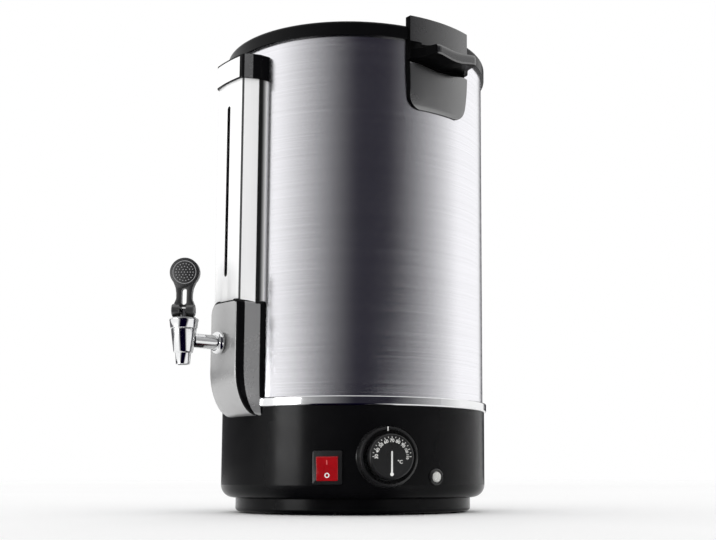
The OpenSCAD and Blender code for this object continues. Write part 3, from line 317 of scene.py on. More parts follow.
class Finish(Enum):
    """The urn's finishes."""

    GLOSS_BLACK = Moulding("gloss black moulding", (0.0035, 0.0035, 0.004), 0.22, 0.5, 0.000004, 500.0,
                           ior=1.2)
    HANDLE = Moulding("handle moulding", (0.012, 0.012, 0.0125), 0.27, 1.0, 0.000012, ior=1.8)
    # A darker, less reflective copy of the handle moulding: painted shade.
    HANDLE_EDGE = Moulding("handle edge", (0.002, 0.002, 0.0022), 0.3, 0.5, 0.00001, ior=1.08)
    # A lighter, more reflective copy of the handle moulding: painted highlight on the panel's top edge.
    RIM = Moulding("handle rim", (0.03, 0.03, 0.0305), 0.3, 1.0, 0.000012, ior=2.6)
    # A slightly lighter, more reflective copy of the handle moulding: painted sheen on the lower panel.
    PANEL = Moulding("handle panel", (0.014, 0.014, 0.0145), 0.3, 1.0, 0.000012, ior=2.05)
    BEZEL = Moulding("bezel moulding", (0.013, 0.013, 0.0135), 0.28, 0.6, 0.00001)
    KNOB = Moulding("knob moulding", (0.012, 0.012, 0.0125), 0.3, 0.45, 0.000012)
    LEVER = Moulding("lever moulding", (0.014, 0.014, 0.0145), 0.34, 0.9, 0.000015, ior=1.7)
    PIPS = Moulding("grey thumb disc", (0.3, 0.3, 0.305), 0.4, 0.4, 0.00001)
    # Painted dark reflection on the corners of the gauge cover.
    EDGE = Moulding("dark sheet edge", (0.06, 0.06, 0.062), 0.3, 0.3, 0.000004)
    SATIN_BLACK = Moulding("satin black moulding", (0.026, 0.027, 0.028), 0.36, 0.45, 0.00002)
    DEEP_BLACK = Moulding("deep black moulding", (0.01, 0.01, 0.01), 0.3, 0.3, 0.00001)
    RUBBER = Moulding("black rubber", (0.018, 0.018, 0.018), 0.75, 0.3, 0.00006, 900.0)
    SILICONE = Moulding("white silicone", (0.72, 0.7, 0.64), 0.45, 0.5, 0.00002)
    CERAMIC = Moulding("cream heat-proof moulding", (0.74, 0.69, 0.6), 0.5, 0.4, 0.00003)
    PHENOLIC = Moulding("brown heat-proof moulding", (0.05, 0.035, 0.025), 0.4, 0.4, 0.00003)
    RED = Moulding("red rocker", (0.33, 0.004, 0.007), 0.12, 0.5, 0.000004, 500.0, 0.4)
    PRINT = Moulding("white print", (0.82, 0.82, 0.8), 0.5, 0.3, 0.000006)
    # A dim red copy of the white print: the I mark in painted shade.
    FAINT = Moulding("painted shade print", (0.6, 0.1, 0.1), 0.5, 0.3, 0.000006)
    # The rail pales from black to grey toward the jacket: painted sheen.
    RAIL = Faded("column rail", 0.006, 0.95, -0.1283, -0.1228)
    JACKET = Brushed("brushed jacket", (0.93, 0.925, 0.96))
    SHEET = Brushed("brushed gauge sheet", (0.97, 0.97, 0.97), 0.2, (700.0, 700.0, 6.0), 0.03, 0.1)
    SHROUD = Brushed("satin grey front", (0.47, 0.47, 0.47), 0.24, (60.0, 60.0, 60.0), 0.02, 0.5)
    # A darker copy of the satin grey front: painted shade on the bracket's sides.
    SHROUD_SIDE = Brushed("satin grey painted shade", (0.4, 0.4, 0.402), 0.26, (60.0, 60.0, 60.0), 0.02, 0.5)
    # A grey finish on the gloss black cap: painted sheen on the front of its sides.
    CAP_SIDE = Brushed("satin grey painted sheen", (0.2, 0.2, 0.202), 0.26, (60.0, 60.0, 60.0), 0.02, 0.5)
    TANK = Brushed("drawn tank steel", (0.68, 0.68, 0.69), 0.3)
    LID = Brushed("spun lid steel", (0.74, 0.74, 0.745), 0.24, (260.0, 260.0, 260.0), 0.06)
    CHROME = Polished("polished chrome", (0.88, 0.885, 0.89))
    HARDWARE = Polished("plain steel hardware", (0.62, 0.62, 0.63), 0.22, 0.1)
    COPPER = Polished("bare copper", (0.78, 0.42, 0.27), 0.25, 0.12)
    BRASS = Polished("brass tabs", (0.8, 0.6, 0.28), 0.2, 0.1)
    CAST = Polished("cast aluminium", (0.66, 0.67, 0.68), 0.42, 0.1)
    GLASS = Clear("gauge glass", (0.95, 0.98, 0.98))
    LENS = Clear("milky lens", (0.9, 0.9, 0.87), 0.25, 0.35)

    def made(self) -> bpy.types.Material:
        """Gives this finish's material, built once."""
        return bpy.data.materials.get(self.value.name) or self.value.material()


DRESS: dict[Finish, tuple[str, ...]] = {
    Finish.GLOSS_BLACK: ("base_housing", "base_pan", "top_collar"),
    Finish.SATIN_BLACK: ("handle_right", "handle_left", "dial_bezel", "thermostat_knob", "switch_frame",
                         "lamp_bezel", "power_inlet", "lid_knob", "tap_lever"),
    Finish.RAIL: ("gauge_rail",),
    Finish.DEEP_BLACK: ("tap_nut", "tap_glide", "tap_spacer", "base_screws"),
    Finish.RUBBER: ("rubber_feet",),
    Finish.JACKET: ("outer_jacket",),
    Finish.SHEET: ("gauge_cover", "cap_plate"),
    Finish.SHROUD: ("gauge_cap", "tap_bracket"),
    Finish.TANK: ("inner_tank",),
    Finish.LID: ("lid_shell",),
    Finish.CHROME: ("trim_band", "tap_ring", "tap_body", "tap_bonnet"),
    Finish.HARDWARE: ("handle_screws", "tap_shank", "tap_tank_nuts", "tap_spring", "tap_stem",
                      "tap_pin", "thermostat_shaft", "inlet_screws", "lid_knob_screw", "gauge_elbow",
                      "heating_element", "inlet_pins"),
    Finish.GLASS: ("gauge_glass",),
    Finish.SILICONE: ("gauge_seals", "tap_washers", "tap_seat_cup"),
    Finish.CAST: ("heater_plate",),
    Finish.CERAMIC: ("thermostat_body", "terminal_block"),
    Finish.PHENOLIC: ("thermal_cutout",),
    Finish.COPPER: ("thermostat_bulb",),
    Finish.BRASS: ("switch_terminals",),
    Finish.RED: ("switch_rocker",),
    Finish.LENS: ("lamp_lens",),
}


def dress(obj: bpy.types.Object, finish: Finish) -> None:
    """Puts a finish on every slot of an object.

    Args:
        obj: The mesh object.
        finish: Its finish.
    """
    material = finish.made()
    if not obj.material_slots:
        obj.data.materials.append(material)
    for held in obj.material_slots:
        held.material = material


def dress_frame() -> None:
    """Gives each carried-over piece its finish."""
    for finish, names in DRESS.items():
        for name in names:
            dress(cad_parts[name], finish)
            LOG.info("dressed %s in %s", name, finish.value.name)


# ---------------------------------------------------------------- modelling steps

def outward(angle: float, u: float = 0.0, z: float = 0.0) -> Matrix:
    """Gives the place of a piece drawn as seen from in front of the urn.

    Args:
        angle: Direction of the front, in degrees, seen from above.
        u: Distance from the urn's axis, in metres.
        z: Height, in metres.

    Returns:
        A matrix whose X runs across, Y up and Z outward.
    """
    a = math.radians(angle)
    c, s = math.cos(a), math.sin(a)
    return Matrix(((-s, 0, c, c * u), (c, 0, s, s * u), (0, 1, 0, z), (0, 0, 0, 1)))


def clear() -> None:
    """Leaves edit mode and deselects everything."""
    if bpy.context.mode != "OBJECT":
        bpy.ops.object.mode_set(mode="OBJECT")
    bpy.ops.object.select_all(action="DESELECT")


def pick(obj: bpy.types.Object) -> None:
    """Makes one object the only selected and active one.

    Args:
        obj: The object.
    """
    clear()
    obj.select_set(True)
    bpy.context.view_layer.objects.active = obj


@contextmanager
def editing(obj: bpy.types.Object, action: str = "SELECT") -> Iterator[None]:
    """Opens an object in edit mode and closes it again.

    Args:
        obj: The mesh object.
        action: Whether it opens with all selected or, with "DESELECT", nothing.

    Yields:
        Nothing.
    """
    pick(obj)
    bpy.ops.object.mode_set(mode="EDIT")
    bpy.ops.mesh.select_all(action=action)
    yield
    bpy.ops.object.mode_set(mode="OBJECT")


def select_facing(obj: bpy.types.Object, rule: Callable[[Vector], bool]) -> None:
    """Selects the faces whose normal passes a rule, in edit mode.

    Args:
        obj: The mesh object.
        rule: Tells whether a face with this normal is taken.
    """
    mesh = bmesh.from_edit_mesh(obj.data)
    for face in mesh.faces:
        face.select = rule(face.normal)
    mesh.select_flush_mode()
    bmesh.update_edit_mesh(obj.data)


def newest(name: str) -> bpy.types.Object:
    """Names the newest object and gives it.

    Args:
        name: Its name.

    Returns:
        The object.
    """
    obj = bpy.context.object
    obj.name = name
    return obj


def tidy(obj: bpy.types.Object, merge: float = 0.00001) -> None:
    """Merges doubles and turns the faces outward.

    Args:
        obj: The mesh object.
        merge: Merge distance in metres.
    """
    with editing(obj):
        bpy.ops.mesh.remove_doubles(threshold=merge)
        bpy.ops.mesh.normals_make_consistent(inside=False)


def apply(obj: bpy.types.Object, kind: str, **settings: object) -> None:
    """Adds a modifier and applies it.

    Args:
        obj: The mesh object.
        kind: The modifier's type.
        **settings: Its settings.
    """
    pick(obj)
    held = obj.modifiers.new(kind.lower(), kind)
    for key, value in settings.items():
        setattr(held, key, value)
    bpy.ops.object.modifier_apply(modifier=held.name)


def soften(obj: bpy.types.Object, width: float, segments: int = 3, angle: float = 30.0) -> None:
    """Rounds the sharp edges.

    Args:
        obj: The mesh object.
        width: Width of the rounding in metres.
        segments: Steps of the rounding.
        angle: Edges sharper than this are rounded, in degrees.
    """
    apply(obj, "BEVEL", width=width, segments=segments, limit_method="ANGLE",
          angle_limit=math.radians(angle), harden_normals=False)
    smooth(obj)


def smooth(obj: bpy.types.Object, angle: float = 35.0) -> None:
    """Shades an object smooth where its faces meet below an angle."""
    pick(obj)
    bpy.ops.object.shade_smooth_by_angle(angle=math.radians(angle))


def place(obj: bpy.types.Object, matrix: Matrix) -> bpy.types.Object:
    """Moves a piece into place and leaves the place in its mesh.

    Args:
        obj: The mesh object.
        matrix: Where it goes.

    Returns:
        The same object.
    """
    pick(obj)
    obj.matrix_world = matrix
    bpy.ops.object.transform_apply()
    return obj


def turned(name: str, profile: list[tuple[float, float]], steps: int = 72) -> bpy.types.Object:
    """Turns a profile about Z: one ring is extruded and sized, step by step.

    Args:
        name: The piece's name.
        profile: Radius and height of each ring, in millimetres; a closed section ends where it began.
        steps: Corners of the ring.

    Returns:
        The new object.
    """
    clear()
    rings = [(max(r, AXIS) * MM, z * MM) for r, z in profile]
    bpy.ops.mesh.primitive_circle_add(vertices=steps, radius=rings[0][0], fill_type="NOTHING",
                                      location=(0, 0, rings[0][1]))
    obj = newest(name)
    bpy.ops.object.transform_apply()
    with editing(obj):
        for (r0, z0), (r1, z1) in zip(rings, rings[1:]):
            bpy.ops.mesh.extrude_region_move(TRANSFORM_OT_translate={"value": (0, 0, z1 - z0)})
            if r1 != r0:
                bpy.ops.transform.resize(value=(r1 / r0, r1 / r0, 1), center_override=(0, 0, z1))
    tidy(obj)
    smooth(obj)
    return obj


def slab(name: str, outline: list[tuple[float, float]], low: float, high: float) -> bpy.types.Object:
    """Cuts an outline from sheet: a filled ring is shaped and extruded along Z.

    Args:
        name: The piece's name.
        outline: Corners across and up, in millimetres.
        low: Height of the back, in millimetres.
        high: Height of the front, in millimetres.

    Returns:
        The new object.
    """
    clear()
    bpy.ops.mesh.primitive_circle_add(vertices=len(outline), radius=0.01, fill_type="NGON")
    obj = newest(name)
    for vertex, (x, y) in zip(obj.data.vertices, outline):
        vertex.co = (x * MM, y * MM, low * MM)
    with editing(obj):
        bpy.ops.mesh.extrude_region_move(TRANSFORM_OT_translate={"value": (0, 0, (high - low) * MM)})
    tidy(obj)
    return obj


def skin(name: str, rows: list[list[tuple[float, float, float]]]) -> bpy.types.Object:
    """Shapes a grid into a skin through rows of points.

    Args:
        name: The piece's name.
        rows: Points of each row, in millimetres; all rows are as long.

    Returns:
        The new object.
    """
    clear()
    bpy.ops.mesh.primitive_grid_add(x_subdivisions=len(rows[0]) - 1, y_subdivisions=len(rows) - 1, size=0.1)
    obj = newest(name)
    for vertex, point in zip(obj.data.vertices, (p for row in rows for p in row)):
        vertex.co = [c * MM for c in point]
    return obj


def joined(name: str, pieces: list[bpy.types.Object]) -> bpy.types.Object:
    """Joins pieces into one object.

    Args:
        name: The joined object's name.
        pieces: The objects; their meshes are kept apart inside it.

    Returns:
        The joined object.
    """
    clear()
    for piece in pieces:
        piece.select_set(True)
    bpy.context.view_layer.objects.active = pieces[0]
    bpy.ops.object.join()
    pieces[0].name = name
    return pieces[0]


def copied(obj: bpy.types.Object, name: str, matrix: Matrix) -> bpy.types.Object:
    """Copies a piece with its own mesh and moves the copy.

    Args:
        obj: The piece to copy.
        name: The copy's name.
        matrix: The move, applied to the copy's mesh.

    Returns:
        The copy.
    """
    twin = obj.copy()
    twin.data = obj.data.copy()
    twin.name = name
    bpy.context.collection.objects.link(twin)
    return place(twin, matrix)


def cut(obj: bpy.types.Object, tool: bpy.types.Object) -> None:
    """Takes one closed piece away from another and drops the tool."""
    apply(obj, "BOOLEAN", operation="DIFFERENCE", object=tool, solver="EXACT")
    bpy.data.objects.remove(tool)


def taken(node: str, name: str, width: float, segments: int, angle: float) -> bpy.types.Object:
    """Copies a carried-over piece, merges it and rounds its edges.

    Args:
        node: The node that is copied.
        name: The new piece's name.
        width: Width of the rounding in metres.
        segments: Steps of the rounding.
        angle: Edges sharper than this are rounded, in degrees.

    Returns:
        The new piece.
    """
    obj = copied(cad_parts[node], name, Matrix.Identity(4))
    tidy(obj)
    with editing(obj):
        bpy.ops.mesh.dissolve_limited(angle_limit=math.radians(0.5))
    soften(obj, width, segments, angle)
    return obj


def parted(obj: bpy.types.Object, angle: float, rule: Callable[[Vector, Vector], Finish]) -> None:
    """Dresses each face by its place and its direction.

    Args:
        obj: The mesh object.
        angle: Direction of the view that the rule is written for, in degrees.
        rule: Gives the finish for a face's middle and normal, both across, up and outward in millimetres.
    """
    turn = outward(angle).inverted()
    obj.data.materials.clear()
    held: dict[Finish, int] = {}
    for face in obj.data.polygons:
        finish = rule((turn @ face.center) / MM, turn.to_3x3() @ face.normal)
        if finish not in held:
            held[finish] = len(obj.data.materials)
            obj.data.materials.append(finish.made())
        face.material_index = held[finish]


def keep(obj: bpy.types.Object, finish: Finish | None, slot: str, body: str = URN, *nodes: str) -> None:
    """Dresses a finished piece, hides the nodes that it replaces and lets it ride.

    Args:
        obj: The piece.
        finish: Its finish, or None where its faces are dressed already.
        slot: Not used.
        body: The body that it rides on.
        *nodes: The nodes that it replaces.
    """
    if finish is not None:
        dress(obj, finish)
    if nodes:
        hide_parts(*nodes)
    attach(obj, body)
    LOG.info("made %s on %s: %d faces", obj.name, body, len(obj.data.polygons))


def arc(cx: float, cy: float, r: float, start: float, end: float, steps: int) -> list[tuple[float, float]]:
    """Gives points along an arc, in the units of its radius."""
    turns = [math.radians(start + (end - start) * k / steps) for k in range(steps + 1)]
    return [(cx + r * math.cos(t), cy + r * math.sin(t)) for t in turns]


def eased(value: float) -> float:
    """Gives a smooth step from 0 to 1."""
    t = min(1.0, max(0.0, value))
    return t * t * (3 - 2 * t)


# ---------------------------------------------------------------- body

@dataclass
class Jacket:
    """Brushed outer sheet, turned finely so that its reflections run smooth."""

    radius: float = 125.5
    wall: float = 0.8
    low: float = 92.2
    high: float = 434.4
    rings: tuple[float, ...] = (180.0, 265.0, 350.0)
    steps: int = 288

    def build(self) -> None:
        """Turns the sheet."""
        inner = self.radius - self.wall
        outside = [(self.radius, z) for z in (self.low, *self.rings, self.high)]
        sheet = turned("jacket_sheet", [(inner, self.low), *outside, (inner, self.high), (inner, self.low)],
                       self.steps)
        keep(sheet, Finish.JACKET, "brushed_steel", URN, "outer_jacket")


# ---------------------------------------------------------------- side handles

@dataclass
class SideHandle:
    """A moulded shield with a wavy ledge grip, made once and copied to the other side."""

    face: float = 132.0
    hollow: float = 128.2
    back: float = 125.75
    reach: float = 153.6
    top: float = 450.4
    bottom: float = 365.1
    half_top: float = 34.9
    half_bottom: float = 32.9
    corner: float = 12.0
    ledge_top: float = 419.0
    ledge_bottom: float = 409.6
    belly: float = 3.4
    dip: float = 2.2
    wing: float = 5.0
    hollow_bottom: float = 403.1
    wave: float = 4.0
    taper: float = 4.5
    grip_half: float = 25.8
    taper_from: float = 400.0
    plate_levels: tuple[float, ...] = (441.0, 434.0)
    panel_levels: tuple[float, ...] = (395, 389, 383, 379, 376, 373, 371, 369.2, 367.6)
    lip: float = 1.3
    # Width of the band under the panel's top edge that gets a painted highlight.
    rim: float = 1.5
    # Widths of the wall bands that get painted shade.
    side_band: float = 1.8
    top_band: float = 1.2
    foot_band: float = 1.0

    def half(self, z: float) -> float:
        """Gives the shield's half width at a height.

        Args:
            z: The height.

        Returns:
            The half width.
        """
        share = (z - self.bottom) / (self.hollow_bottom - self.bottom)
        wide = self.half_bottom + (self.half_top - self.half_bottom) * min(1.0, share)
        into = self.bottom + self.corner - z
        if into > 0:
            wide -= self.corner - math.sqrt(max(0.0, self.corner ** 2 - into ** 2))
        return wide

    def swell(self, v: float) -> float:
        """Gives a rise of 1 in the middle that fades to 0 at the grip's ends."""
        return (1 + math.cos(math.pi * min(1.0, abs(v) / self.grip_half))) / 2

    def depth(self, v: float) -> float:
        """Gives the grip's reach from the axis at a place across.

        Args:
            v: The place across.

        Returns:
            The reach.
        """
        out, root, shoulder = abs(v), self.grip_half + 0.7, self.grip_half - 1.3
        low, high = self.face + 8.6, self.reach - 3.2
        if out >= root:
            share = (self.half_top - out) / (self.half_top - root)
            return self.face + 0.6 + (low - self.face - 0.6) * share ** 2
        if out >= shoulder:
            return low + (high - low) * (root - out) / (root - shoulder)
        return high + (self.reach - high) * math.sqrt(1 - max(0.0, (out - shoulder + 5) / 5) ** 2)

    def crest(self, v: float) -> float:
        """Gives the height of the grip's top edge."""
        return self.ledge_top - self.dip * self.swell(v)

    def under(self, v: float) -> float:
        """Gives the height of the grip's lower edge."""
        return self.ledge_bottom - self.belly * self.swell(v)

    def fillet(self, v: float) -> float:
        """Gives how far the grip's top climbs on its way back to the shield."""
        return 1.5 + self.wing * eased((abs(v) - 8) / 18)

    def edge(self, v: float) -> float:
        """Gives the height of the lower panel's wavy edge."""
        share = min(1.0, abs(v) / (0.92 * self.half_top))
        return self.hollow_bottom + self.wave * ((1 - math.cos(math.pi * share)) / 2) ** 1.3

    def panel(self, z: float) -> float:
        """Gives the lower panel's reach, which falls toward its foot."""
        return self.face - self.taper * max(0.0, (self.taper_from - z) / (self.taper_from - self.bottom)) ** 2

    def columns(self) -> list[float]:
        """Gives the places across, close together where the grip ends.

        Returns:
            The places, as shares of the half width.
        """
        stops = [0.0] + [1.5 * k for k in range(1, 13)] + [19 + 0.5 * k for k in range(11)]
        stops += [24.25 + 0.25 * k for k in range(10)] + [27 + 0.6 * k for k in range(13)] + [self.half_top]
        return [-v / self.half_top for v in reversed(stops[1:])] + [v / self.half_top for v in stops]

    def row(self, height: Callable[[float], float],
            reach: Callable[[float], float]) -> list[tuple[float, float, float]]:
        """Gives one row of points across the shield.

        Args:
            height: Height at a place across.
            reach: Distance from the axis at a place across.

        Returns:
            The points, across, up and outward.
        """
        points = []
        for share in self.columns():
            z = height(share * self.half_top)
            v = share * self.half(z)
            z, radius = height(v), reach(v)
            curve = radius - math.sqrt(radius ** 2 - v ** 2)
            if radius > self.face:
                curve = (self.face - math.sqrt(self.face ** 2 - v ** 2)) * self.sag(radius)
            points.append((v, z, radius - curve))
        return points

    def rows(self) -> list[list[tuple[float, float, float]]]:
        """Gives the skin's rows from the top edge to the bottom edge.

        Returns:
            Points of each row.
        """
        face, hollow = (lambda v: self.face), (lambda v: self.hollow)
        rules = [(lambda v, z=z: z, face) for z in (self.top, self.top - 1.5, *self.plate_levels)]
        rules.append((lambda v: self.crest(v) + self.fillet(v) + 1.2, face))
        for share in (0.0, 0.1, 0.25, 0.4, 0.6, 0.8, 0.95):
            rules.append((lambda v, s=share: self.crest(v) + self.fillet(v) * (1 - s) ** 2,
                          lambda v, s=share: self.face + (self.depth(v) - self.face) * s))
        for share in (0.22, 0.4, 0.6, 0.78):
            rules.append((lambda v, s=share: self.crest(v) + (self.under(v) - self.crest(v)) * s, self.depth))
        for share, rise in ((0.96, 0.9), (0.75, 0.4), (0.4, 0.2), (0.0, 0.1)):
            rules.append((lambda v, r=rise: self.under(v) + r,
                          lambda v, s=share: self.hollow + (self.depth(v) - self.hollow) * s))
        rules.append((lambda v: min(self.under(v) - 0.5, (self.under(v) + self.edge(v)) / 2 + 0.3), hollow))
        rules.append((lambda v: min(self.edge(v) + 0.3, self.under(v) - 0.9), hollow))
        rules.append((self.brink, lambda v: self.face - 1.6))
        for k in range(4):
            a = math.radians(30 * k)
            rules.append((lambda v, a=a: self.brink(v) - self.lip * (1 - math.cos(a)) - 0.1,
                          lambda v, a=a: self.face - self.lip * (1 - math.sin(a))))
        rules.append((lambda v: self.edge(v) - 4.0, face))
        for z in self.panel_levels:
            rules.append((lambda v, z=z: min(z, self.edge(v) - 5), lambda v, z=z: self.panel(z)))
        for k in range(1, 6):
            a = math.radians(18 * k)
            rules.append((lambda v, a=a: self.bottom + 1.4 * (1 - math.sin(a)),
                          lambda v, a=a: self.panel(self.bottom) - 1.2 * (1 - math.cos(a))))
        return [self.row(height, reach) for height, reach in rules]

    def brink(self, v: float) -> float:
        """Gives the height where the panel's edge turns over, which stays under the grip."""
        return min(self.edge(v), self.under(v) - 1.2)

    def finish_of(self, middle: Vector, normal: Vector) -> Finish:
        """Gives painted shade to the walls, the recess and the grip ends, a painted highlight to the panel's
        top edge and a painted sheen to the panel; the plate and grip stay satin.

        Args:
            middle: The face's middle, across, up and outward.
            normal: The face's direction.

        Returns:
            The face's finish.
        """
        v, z = middle.x, middle.y
        low, high = self.edge(v) + 0.4, self.under(v)
        # Walls that face away, the recess under the grip and the grip's flared ends get painted shade.
        wall = normal.z < 0.5 and (abs(v) > self.half(z) - self.side_band or z > self.top - self.top_band
                                   or z < self.bottom + self.foot_band)
        recess_shade = low < z < high + 0.1 or (low < z < high + 1.1 and normal.y < -0.8)
        flare_shade = abs(v) > self.grip_half - 2.4 and low < z < self.crest(v) + self.fillet(v) + 1
        if wall or recess_shade or flare_shade:
            return Finish.HANDLE_EDGE
        if z > high:
            return Finish.HANDLE
        # A band under the panel's top edge gets a painted highlight and the panel a painted sheen.
        return Finish.RIM if z > self.edge(v) - self.rim else Finish.PANEL

    def sag(self, radius: float) -> float:
        """Gives how much of the shield's curve a row keeps at a reach."""
        return max(0.15, 1 - (radius - self.face) / 14)

    def build(self) -> None:
        """Makes the right handle and its copy."""
        right = skin("moulded_handle_right", self.rows())
        with editing(right, "DESELECT"):
            bpy.ops.mesh.select_non_manifold()
            bpy.ops.mesh.extrude_region_move()
        for vertex in right.data.vertices:
            if vertex.select:
                vertex.co.z = math.sqrt((self.back * MM) ** 2 - vertex.co.x ** 2)
        tidy(right, 0.00003)
        soften(right, 0.0009, 3, 32)
        place(right, outward(0))
        parted(right, 0, self.finish_of)
        left = copied(right, "moulded_handle_left", Matrix.Rotation(math.pi, 4, "Z"))
        keep(right, None, "satin_black", URN, "handle_right")
        keep(left, None, "satin_black", URN, "handle_left")


# ---------------------------------------------------------------- dial, switch and lamp

def lettering(name: str, text: str, height: float, matrix: Matrix) -> bpy.types.Object:
    """Makes thin raised print.

    Args:
        name: The piece's name.
        text: What it says.
        height: Height of the letters in millimetres.
        matrix: Where its middle goes.

    Returns:
        The mesh object.
    """
    clear()
    bpy.ops.object.text_add()
    obj = newest(name)
    font = obj.data
    font.body, font.size = text, height * MM * FONT_SHARE
    font.offset, font.extrude = height * MM * 0.02, PRINT_DEPTH * MM
    font.align_x = font.align_y = "CENTER"
    font.resolution_u = 3
    bpy.ops.object.convert(target="MESH")
    return place(obj, matrix)


@dataclass
class Control:
    """A control on the front of the round base housing."""

    angle: float
    height: float
    housing: float = 127.0
    proud: float = 0.12

    def spot(self, u: float = 0.0) -> Matrix:
        """Gives the control's place, at a distance from the urn's axis in millimetres."""
        return outward(self.angle, u * MM, self.height * MM)

    def seated(self, rim: bpy.types.Object, stays: float = 0.0) -> bpy.types.Object:
        """Places a turned rim and draws its foot out to the housing's skin.

        Args:
            rim: The rim.
            stays: What is nearer than this to the urn's axis stays there, in millimetres.

        Returns:
            The same rim.
        """
        place(rim, self.spot())
        skin_reach = (self.housing + self.proud) * MM
        for vertex in rim.data.vertices:
            reach = math.hypot(vertex.co.x, vertex.co.y)
            if stays * MM < reach < skin_reach:
                grow = skin_reach / reach
                vertex.co.x, vertex.co.y = vertex.co.x * grow, vertex.co.y * grow
        return rim


@dataclass
class ThermostatDial(Control):
    """Bezel on the housing and the knob with its scale and pointer."""

    angle: float = -23.5
    height: float = 50.8
    bezel: float = 27.0
    bore: float = 20.8
    knob: float = 20.0
    face: float = 142.0
    numbers: tuple[int, ...] = (30, 40, 50, 60, 70, 80, 90, 100, 110)
    number_reach: float = 13.6
    number_height: float = 2.9
    long_number_height: float = 2.2
    tick_half: float = 0.22
    tick_lows: tuple[float, float] = (15.4, 16.1)
    tick_top: float = 17.3
    sweep: float = 180.0

    def bezel_piece(self) -> None:
        """Turns the bezel, fits it to the round housing and marks its index."""
        u, outer, bore = self.housing, self.bezel, self.bore
        ring = turned("dial_bezel_ring", [
            (bore, u - 0.4), (bore, u + 3), (21.4, u + 3.6), (23.8, u + 7), (24.5, u + 7), (25.6, u + 6.4),
            (26.2, u + 5.2), (outer, u - 2.5), (outer, u - 5), (bore, u - 5), (bore, u - 0.4)], 96)
        floor = turned("dial_bezel_floor", [(5.4, u + 1.5), (20.9, u + 1.5), (20.9, u + 0.4), (5.4, u + 0.4),
                                            (5.4, u + 1.5)])
        place(floor, self.spot())
        soften(self.seated(ring), 0.0004, 2)
        keep(joined("dial_bezel_ring", [ring, floor]), Finish.BEZEL, "satin_black", URN, "dial_bezel")
        tick = slab("dial_index", [(-2.0, 22.3), (-1.1, 22.3), (-1.1, 26.0), (-2.0, 26.0)], u + 6.9, u + 7.05)
        keep(place(tick, self.spot()), Finish.PRINT, "satin_black")

    def knob_piece(self) -> None:
        """Turns the knob with a dished face and a fine step round its edge."""
        f = self.face
        knob = turned("knob_body", [
            (0, f - 12.8), (19.2, f - 12.8), (self.knob, f - 12.2), (19.9, f - 4), (19.6, f - 1.4),
            (19.0, f - 0.4), (18.4, f - 0.05), (17.9, f), (17.6, f - 0.25), (0, f - 0.25)], 96)
        soften(knob, 0.0003, 2)
        keep(place(knob, self.spot()), Finish.KNOB, "satin_black", "dial", "thermostat_knob")

    def scale(self) -> None:
        """Prints the numbers, ticks, pointer and unit on the knob's face."""
        base = self.spot(self.face - 0.2)
        step = self.sweep / (len(self.numbers) - 1)
        marks: list[bpy.types.Object] = []
        for k, number in enumerate(self.numbers):
            turn = Matrix.Rotation(math.radians(self.sweep / 2 - step * k), 4, "Z")
            spot = base @ turn @ Matrix.Translation((0, self.number_reach * MM, 0))
            tall = self.number_height if number < 100 else self.long_number_height
            marks.append(lettering(f"number_{number}", str(number), tall, spot))
        wide, high = self.tick_half, self.tick_top
        for k in range(2 * len(self.numbers) - 1):
            low = self.tick_lows[k % 2]
            tick = slab("tick", [(-wide, low), (wide, low), (wide, high), (-wide, high)], 0, 0.1)
            turn = Matrix.Rotation(math.radians(self.sweep / 2 - step / 2 * k), 4, "Z")
            marks.append(place(tick, base @ turn))
        pointer = slab("pointer", [(-0.8, -14.6), (0.8, -14.6), (0.7, 4.3), (0, 5.0), (-0.7, 4.3)], 0, 0.12)
        marks.append(place(pointer, base))
        dot = turned("dot", [(0, 0.14), (1.6, 0.14), (1.6, 0), (0, 0)], 24)
        marks.append(place(dot, base @ Matrix.Translation((0, -15.0 * MM, 0))))
        marks.append(lettering("unit", "°C", 3.0, base @ Matrix.Translation((7.2 * MM, -4.6 * MM, 0))))
        keep(joined("dial_scale", marks), Finish.PRINT, "satin_black", "dial")

    def build(self) -> None:
        """Makes the dial."""
        self.bezel_piece()
        self.knob_piece()
        self.scale()


